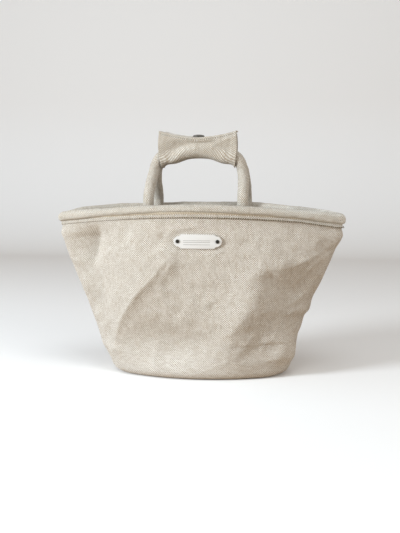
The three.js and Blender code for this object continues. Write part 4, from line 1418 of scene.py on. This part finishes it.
def bump(shader, height, depth):
    raised = add_node(height.tree, "ShaderNodeBump", {"Height": height, "Strength": 1.0, "Distance": depth})
    fill(shader, {"Normal": raised})


# Materials
def plain_weave():
    """Threads that cross over and under, each a little thicker or darker than the next."""
    group, given, out = node_group(
        "Plain weave", "ShaderNodeTree",
        [("Cloth", "Vector", None), ("Pitch", "Float", 0.001), ("Slubs", "Float", 0.5),
         ("Painted Light", "Float", 0.0), ("Crossings", "Float", 1.15), ("Middle", "Color", None),
         ("Dark", "Color", None), ("Pale", "Color", None)],
        [("Color", "Color"), ("Height", "Float"), ("Roughness", "Float")],
    )
    cloth = given["Cloth"]
    places = axes(cloth)[:2]
    bend = (grain(cloth, 70.0, 1.0) - 0.5) * THREAD_BEND
    threads = [place * closeness / given["Pitch"] + bend for place, closeness in zip(places, CLOSENESS)]
    rounds = [maths("ABSOLUTE", maths("SINE", thread * math.pi)) for thread in threads]
    floors = [maths("FLOOR", thread) for thread in threads]
    turn = maths("MODULO", maths("ABSOLUTE", floors[0] + floors[1]), 2.0)
    first_height = turn * (1.0 - THREAD_UNDER) + THREAD_UNDER
    second_height = turn * (THREAD_UNDER - 1.0) + 1.0
    weave = maths("MAXIMUM", rounds[0] * first_height, rounds[1] * second_height)
    own = []
    for floor, along, layer in ((floors[0], places[1], 4.1), (floors[1], places[0], 3.1)):
        on_thread = add_node(group, "ShaderNodeCombineXYZ",
                             {0: floor * 1.7, 1: along * SLUBS_PER_METRE, 2: layer})
        own.append((grain(on_thread, 1.0) - 0.5) * SLUB_SPREAD + 0.5)
    slub = own[0] * turn + own[1] * (turn * -1.0 + 1.0)
    lift = (slub - 0.5) * given["Slubs"]
    blotches = (grain(cloth, BLOTCHES_PER_METRE, 3.0) - 0.5) * BLOTCH_TONE
    # The low places of the weave, where threads pass under or part, are painted darker: painted shade.
    tone = lift * SLUB_TONE + blotches + (weave - 0.8)
    # The last term lifts the whole tone towards the pale colour along a ramp: painted light.
    tone = tone + (turn - 0.5) * given["Crossings"] + given["Painted Light"]
    darker = colour_mix(clamped(tone * -TONE_REACH), given["Middle"], given["Dark"])
    colour = colour_mix(clamped(tone * TONE_REACH), darker, given["Pale"])
    fill(out, {"Color": colour, "Height": weave + lift, "Roughness": slub * 0.1 + 0.82})
    return group


def new_material(name):
    material = bpy.data.materials.new(name)
    material.use_nodes = True
    tree = material.node_tree
    return material, tree, tree.nodes["Principled BSDF"]


def painted_light_ramp(tree, axis, none_at, full_at, strength):
    """Painted light that grows along one axis of the piece, from none at one place to full at another, in
    metres, lifting the cloth's tone towards its pale colour.
    """
    share = (axes(object_place(tree))[axis] - none_at) / (full_at - none_at)
    return clamped(share) * strength


def cloth_material(name, weave, colours, pitch, slubs, depth, painted_light=None):
    """Woven cloth from its middle, dark and pale colours."""
    material, tree, shader = new_material(name)
    inputs = {"Cloth": cloth_place(tree), "Pitch": pitch, "Slubs": slubs}
    for label, colour in zip(("Middle", "Dark", "Pale"), colours):
        inputs[label] = linear(colour)
    # Where it is given, the cloth is painted paler along one axis: painted light.
    if painted_light:
        inputs["Painted Light"] = painted_light_ramp(tree, *painted_light)
    threads = add_node(tree, "ShaderNodeGroup", inputs, "Color", node_tree=weave)
    fill(shader, {"Base Color": threads, "Roughness": threads.also("Roughness"),
                  "Specular IOR Level": 0.25, "Sheen Weight": 0.15, "Sheen Roughness": 0.6})
    bump(shader, threads.also("Height"), depth)
    return material


def twisted_cotton():
    material, tree, shader = new_material("Twisted cotton cord")
    around, along, _ = axes(cloth_place(tree))
    strand = maths("ABSOLUTE", maths("SINE", around * 900.0 + along * 700.0))
    # The grooves between the strands are painted darker: painted shade.
    fill(shader, {"Base Color": colour_mix(strand, COTTON_GROOVE_SHADE, COTTON), "Roughness": 0.9})
    bump(shader, strand, 0.0004)
    return material


def grey_board():
    material, tree, shader = new_material("Pressed board")
    fibres = grain(object_place(tree), 900.0, 3.0)
    fill(shader, {"Base Color": colour_mix(fibres, BOARD_DARK, BOARD), "Roughness": 0.9})
    bump(shader, fibres, 0.0001)
    return material


def needle_hole():
    """Painted shade of the needle holes: dark pricks between stitches."""
    material, tree, shader = new_material("Needle hole shade")
    specks = grain(object_place(tree), 800.0)
    fill(shader, {"Base Color": colour_mix(specks, HOLE_SHADE_DARK, HOLE_SHADE), "Roughness": 1.0})
    return material


def enamel_white():
    """White enamel with faint wear and plain ruled lines."""
    material, tree, shader = new_material("White enamel")
    place = object_place(tree)
    across, _, up = axes(place)
    specks = grain(place, 420.0, 3.0)
    white = colour_mix(clamped((specks - 0.64) * 6.0), ENAMEL, ENAMEL_WORN)
    beside = maths("COMPARE", across, PLATE_X - SWAY / 2, RULE_HALF_LENGTH)
    for drop in RULE_DROPS:
        ruled = maths("COMPARE", up, plate_level - drop, RULE_HALF_WIDTH)
        white = colour_mix(ruled * beside, white, PLATE_INK)
    fill(shader, {"Base Color": white, "Roughness": specks * 0.2 + 0.3, "Coat Weight": 0.2})
    bump(shader, specks, 0.00008)
    return material


def worn_steel(name, colour, dull):
    material, tree, shader = new_material(name)
    smears = grain(object_place(tree), 600.0, 4.0)
    darker = tuple(part * 0.72 for part in colour)
    fill(shader, {"Base Color": colour_mix(smears, darker, colour), "Roughness": smears * 0.25 + dull,
                  "Metallic": 1.0})
    bump(shader, smears, 0.00004)
    return material


def make_finishes():
    weave = plain_weave()
    return SimpleNamespace(
        # The body linen is painted paler towards the bottom: painted light thrown up from the table.
        linen=cloth_material("Body linen", weave, (LINEN, LINEN_DARK, LINEN_PALE), pitch=0.00155,
                             slubs=0.8, depth=0.0008, painted_light=(2, 0.08, 0.0, 0.45)),
        # The rim and handle linen is painted paler towards its right end: painted light falling from above
        # and to the right.
        fine_linen=cloth_material("Rim and handle linen", weave, (COVER_LINEN, LINEN_DARK, COVER_PALE),
                                  pitch=0.0016, slubs=0.85, depth=0.0005, painted_light=(0, 0.08, 0.19, 0.8)),
        tape=cloth_material("Cotton binding tape", weave, (TAPE, TAPE_DARK, TAPE_PALE), pitch=0.0008,
                            slubs=0.15, depth=0.0002),
        thread=cloth_material("Stitching thread", weave, (THREAD, THREAD_DARK, THREAD_PALE), pitch=0.0004,
                              slubs=0.1, depth=0.0001),
        cotton=twisted_cotton(),
        board=grey_board(),
        enamel=enamel_white(),
        hole=needle_hole(),
        steel=worn_steel("Snap steel", STEEL, 0.3),
        dark_steel=worn_steel("Pin steel", DARK_STEEL, 0.35),
    )


def sway(finish):
    """Leans all soft pieces a little to the left, more so the higher they are, up to the rim."""
    soft = (finish.linen, finish.fine_linen, finish.tape, finish.thread, finish.cotton, finish.hole)
    for piece in bpy.data.objects:
        if piece.type == "MESH" and piece.data.materials[:1] and piece.data.materials[0] in soft:
            for vertex in piece.data.vertices:
                vertex.co.x -= SWAY * min(max(vertex.co.z, 0) / RIM_LEVEL, 1) ** 1.5


def finish_solids(finish):
    """Finishes for the stiff pieces that are shown as the solids are."""
    for node, material in (("base_board", finish.board), ("left_pin_washer", finish.steel),
                           ("right_pin_washer", finish.steel)):
        for slot in bpy.data.objects[node].material_slots:
            slot.material = material


# Stage, light and camera
def stage_material():
    """A surface that looks pale when seen directly or in gloss, and throws back a warmer light."""
    material, tree, shader = new_material("Pale backdrop")
    looked_at = add_node(tree, "ShaderNodeLightPath", {}, "Is Camera Ray")
    in_gloss = looked_at.also("Is Glossy Ray")
    through_glass = looked_at.also("Is Transmission Ray")
    seen = maths("MAXIMUM", maths("MAXIMUM", looked_at, in_gloss), through_glass)
    fill(shader, {"Base Color": colour_mix(seen, BACKDROP_BOUNCE, BACKDROP), "Roughness": 0.9})
    return material


def build_stage():
    """A plain floor that sweeps up into a plain backdrop."""
    width = 6.0
    near = -3.0
    far = 2.2
    top = 4.0
    sweep = 0.6
    curve = arc_points((far - sweep, sweep), sweep, sweep, -math.pi / 2, 0, 16)
    profile = [(near, 0.0), *curve, (far, top)]
    points = np.array([[(x, y, z) for x in (-width, width)] for y, z in profile])
    stage = grid_piece("floor", points, points[..., :2], stage_material())


def build_lights():
    for name, (place, size, power, colour) in LAMPS.items():
        lamp = bpy.data.lights.new(name, "AREA")
        lamp.shape = "DISK"
        lamp.size = size
        lamp.energy = power
        lamp.color = colour
        light = bpy.data.objects.new(name, lamp)
        light.location = place
        light.rotation_euler = (Vector(LAMP_AIM) - Vector(place)).to_track_quat("-Z", "Y").to_euler()
        bpy.context.scene.collection.objects.link(light)
    world = bpy.data.worlds.new("Room")
    bpy.context.scene.world = world
    world.use_nodes = True
    sky = world.node_tree.nodes["Background"]
    fill(sky, {"Color": SKY_COLOUR, "Strength": SKY_STRENGTH})


def build_camera():
    data = bpy.data.cameras.new("camera")
    data.lens = CAMERA_LENS
    data.sensor_width = 36.0
    camera = bpy.data.objects.new("camera", data)
    target = Vector(CAMERA_TARGET)
    beside = CAMERA_DISTANCE * math.sin(CAMERA_AZIMUTH)
    before = CAMERA_DISTANCE * math.cos(CAMERA_AZIMUTH)
    place = Vector((target.x + beside, -before, CAMERA_HEIGHT))
    camera.location = place
    camera.rotation_euler = (target - place).to_track_quat("-Z", "Y").to_euler()
    bpy.context.scene.collection.objects.link(camera)
    bpy.context.scene.camera = camera
    bpy.context.scene.view_settings.view_transform = "Standard"


build_camera()
build_stage()
build_lights()
finishes = make_finishes()
main_pieces(finishes)
base_pieces(finishes)
plate_pieces(finishes)
snap_pieces(finishes)
wrap_pieces(finishes)
stitching = stitch_tree()
body_stitches(finishes, stitching)
wrap_stitches(finishes, stitching)
finish_solids(finishes)
sway(finishes)
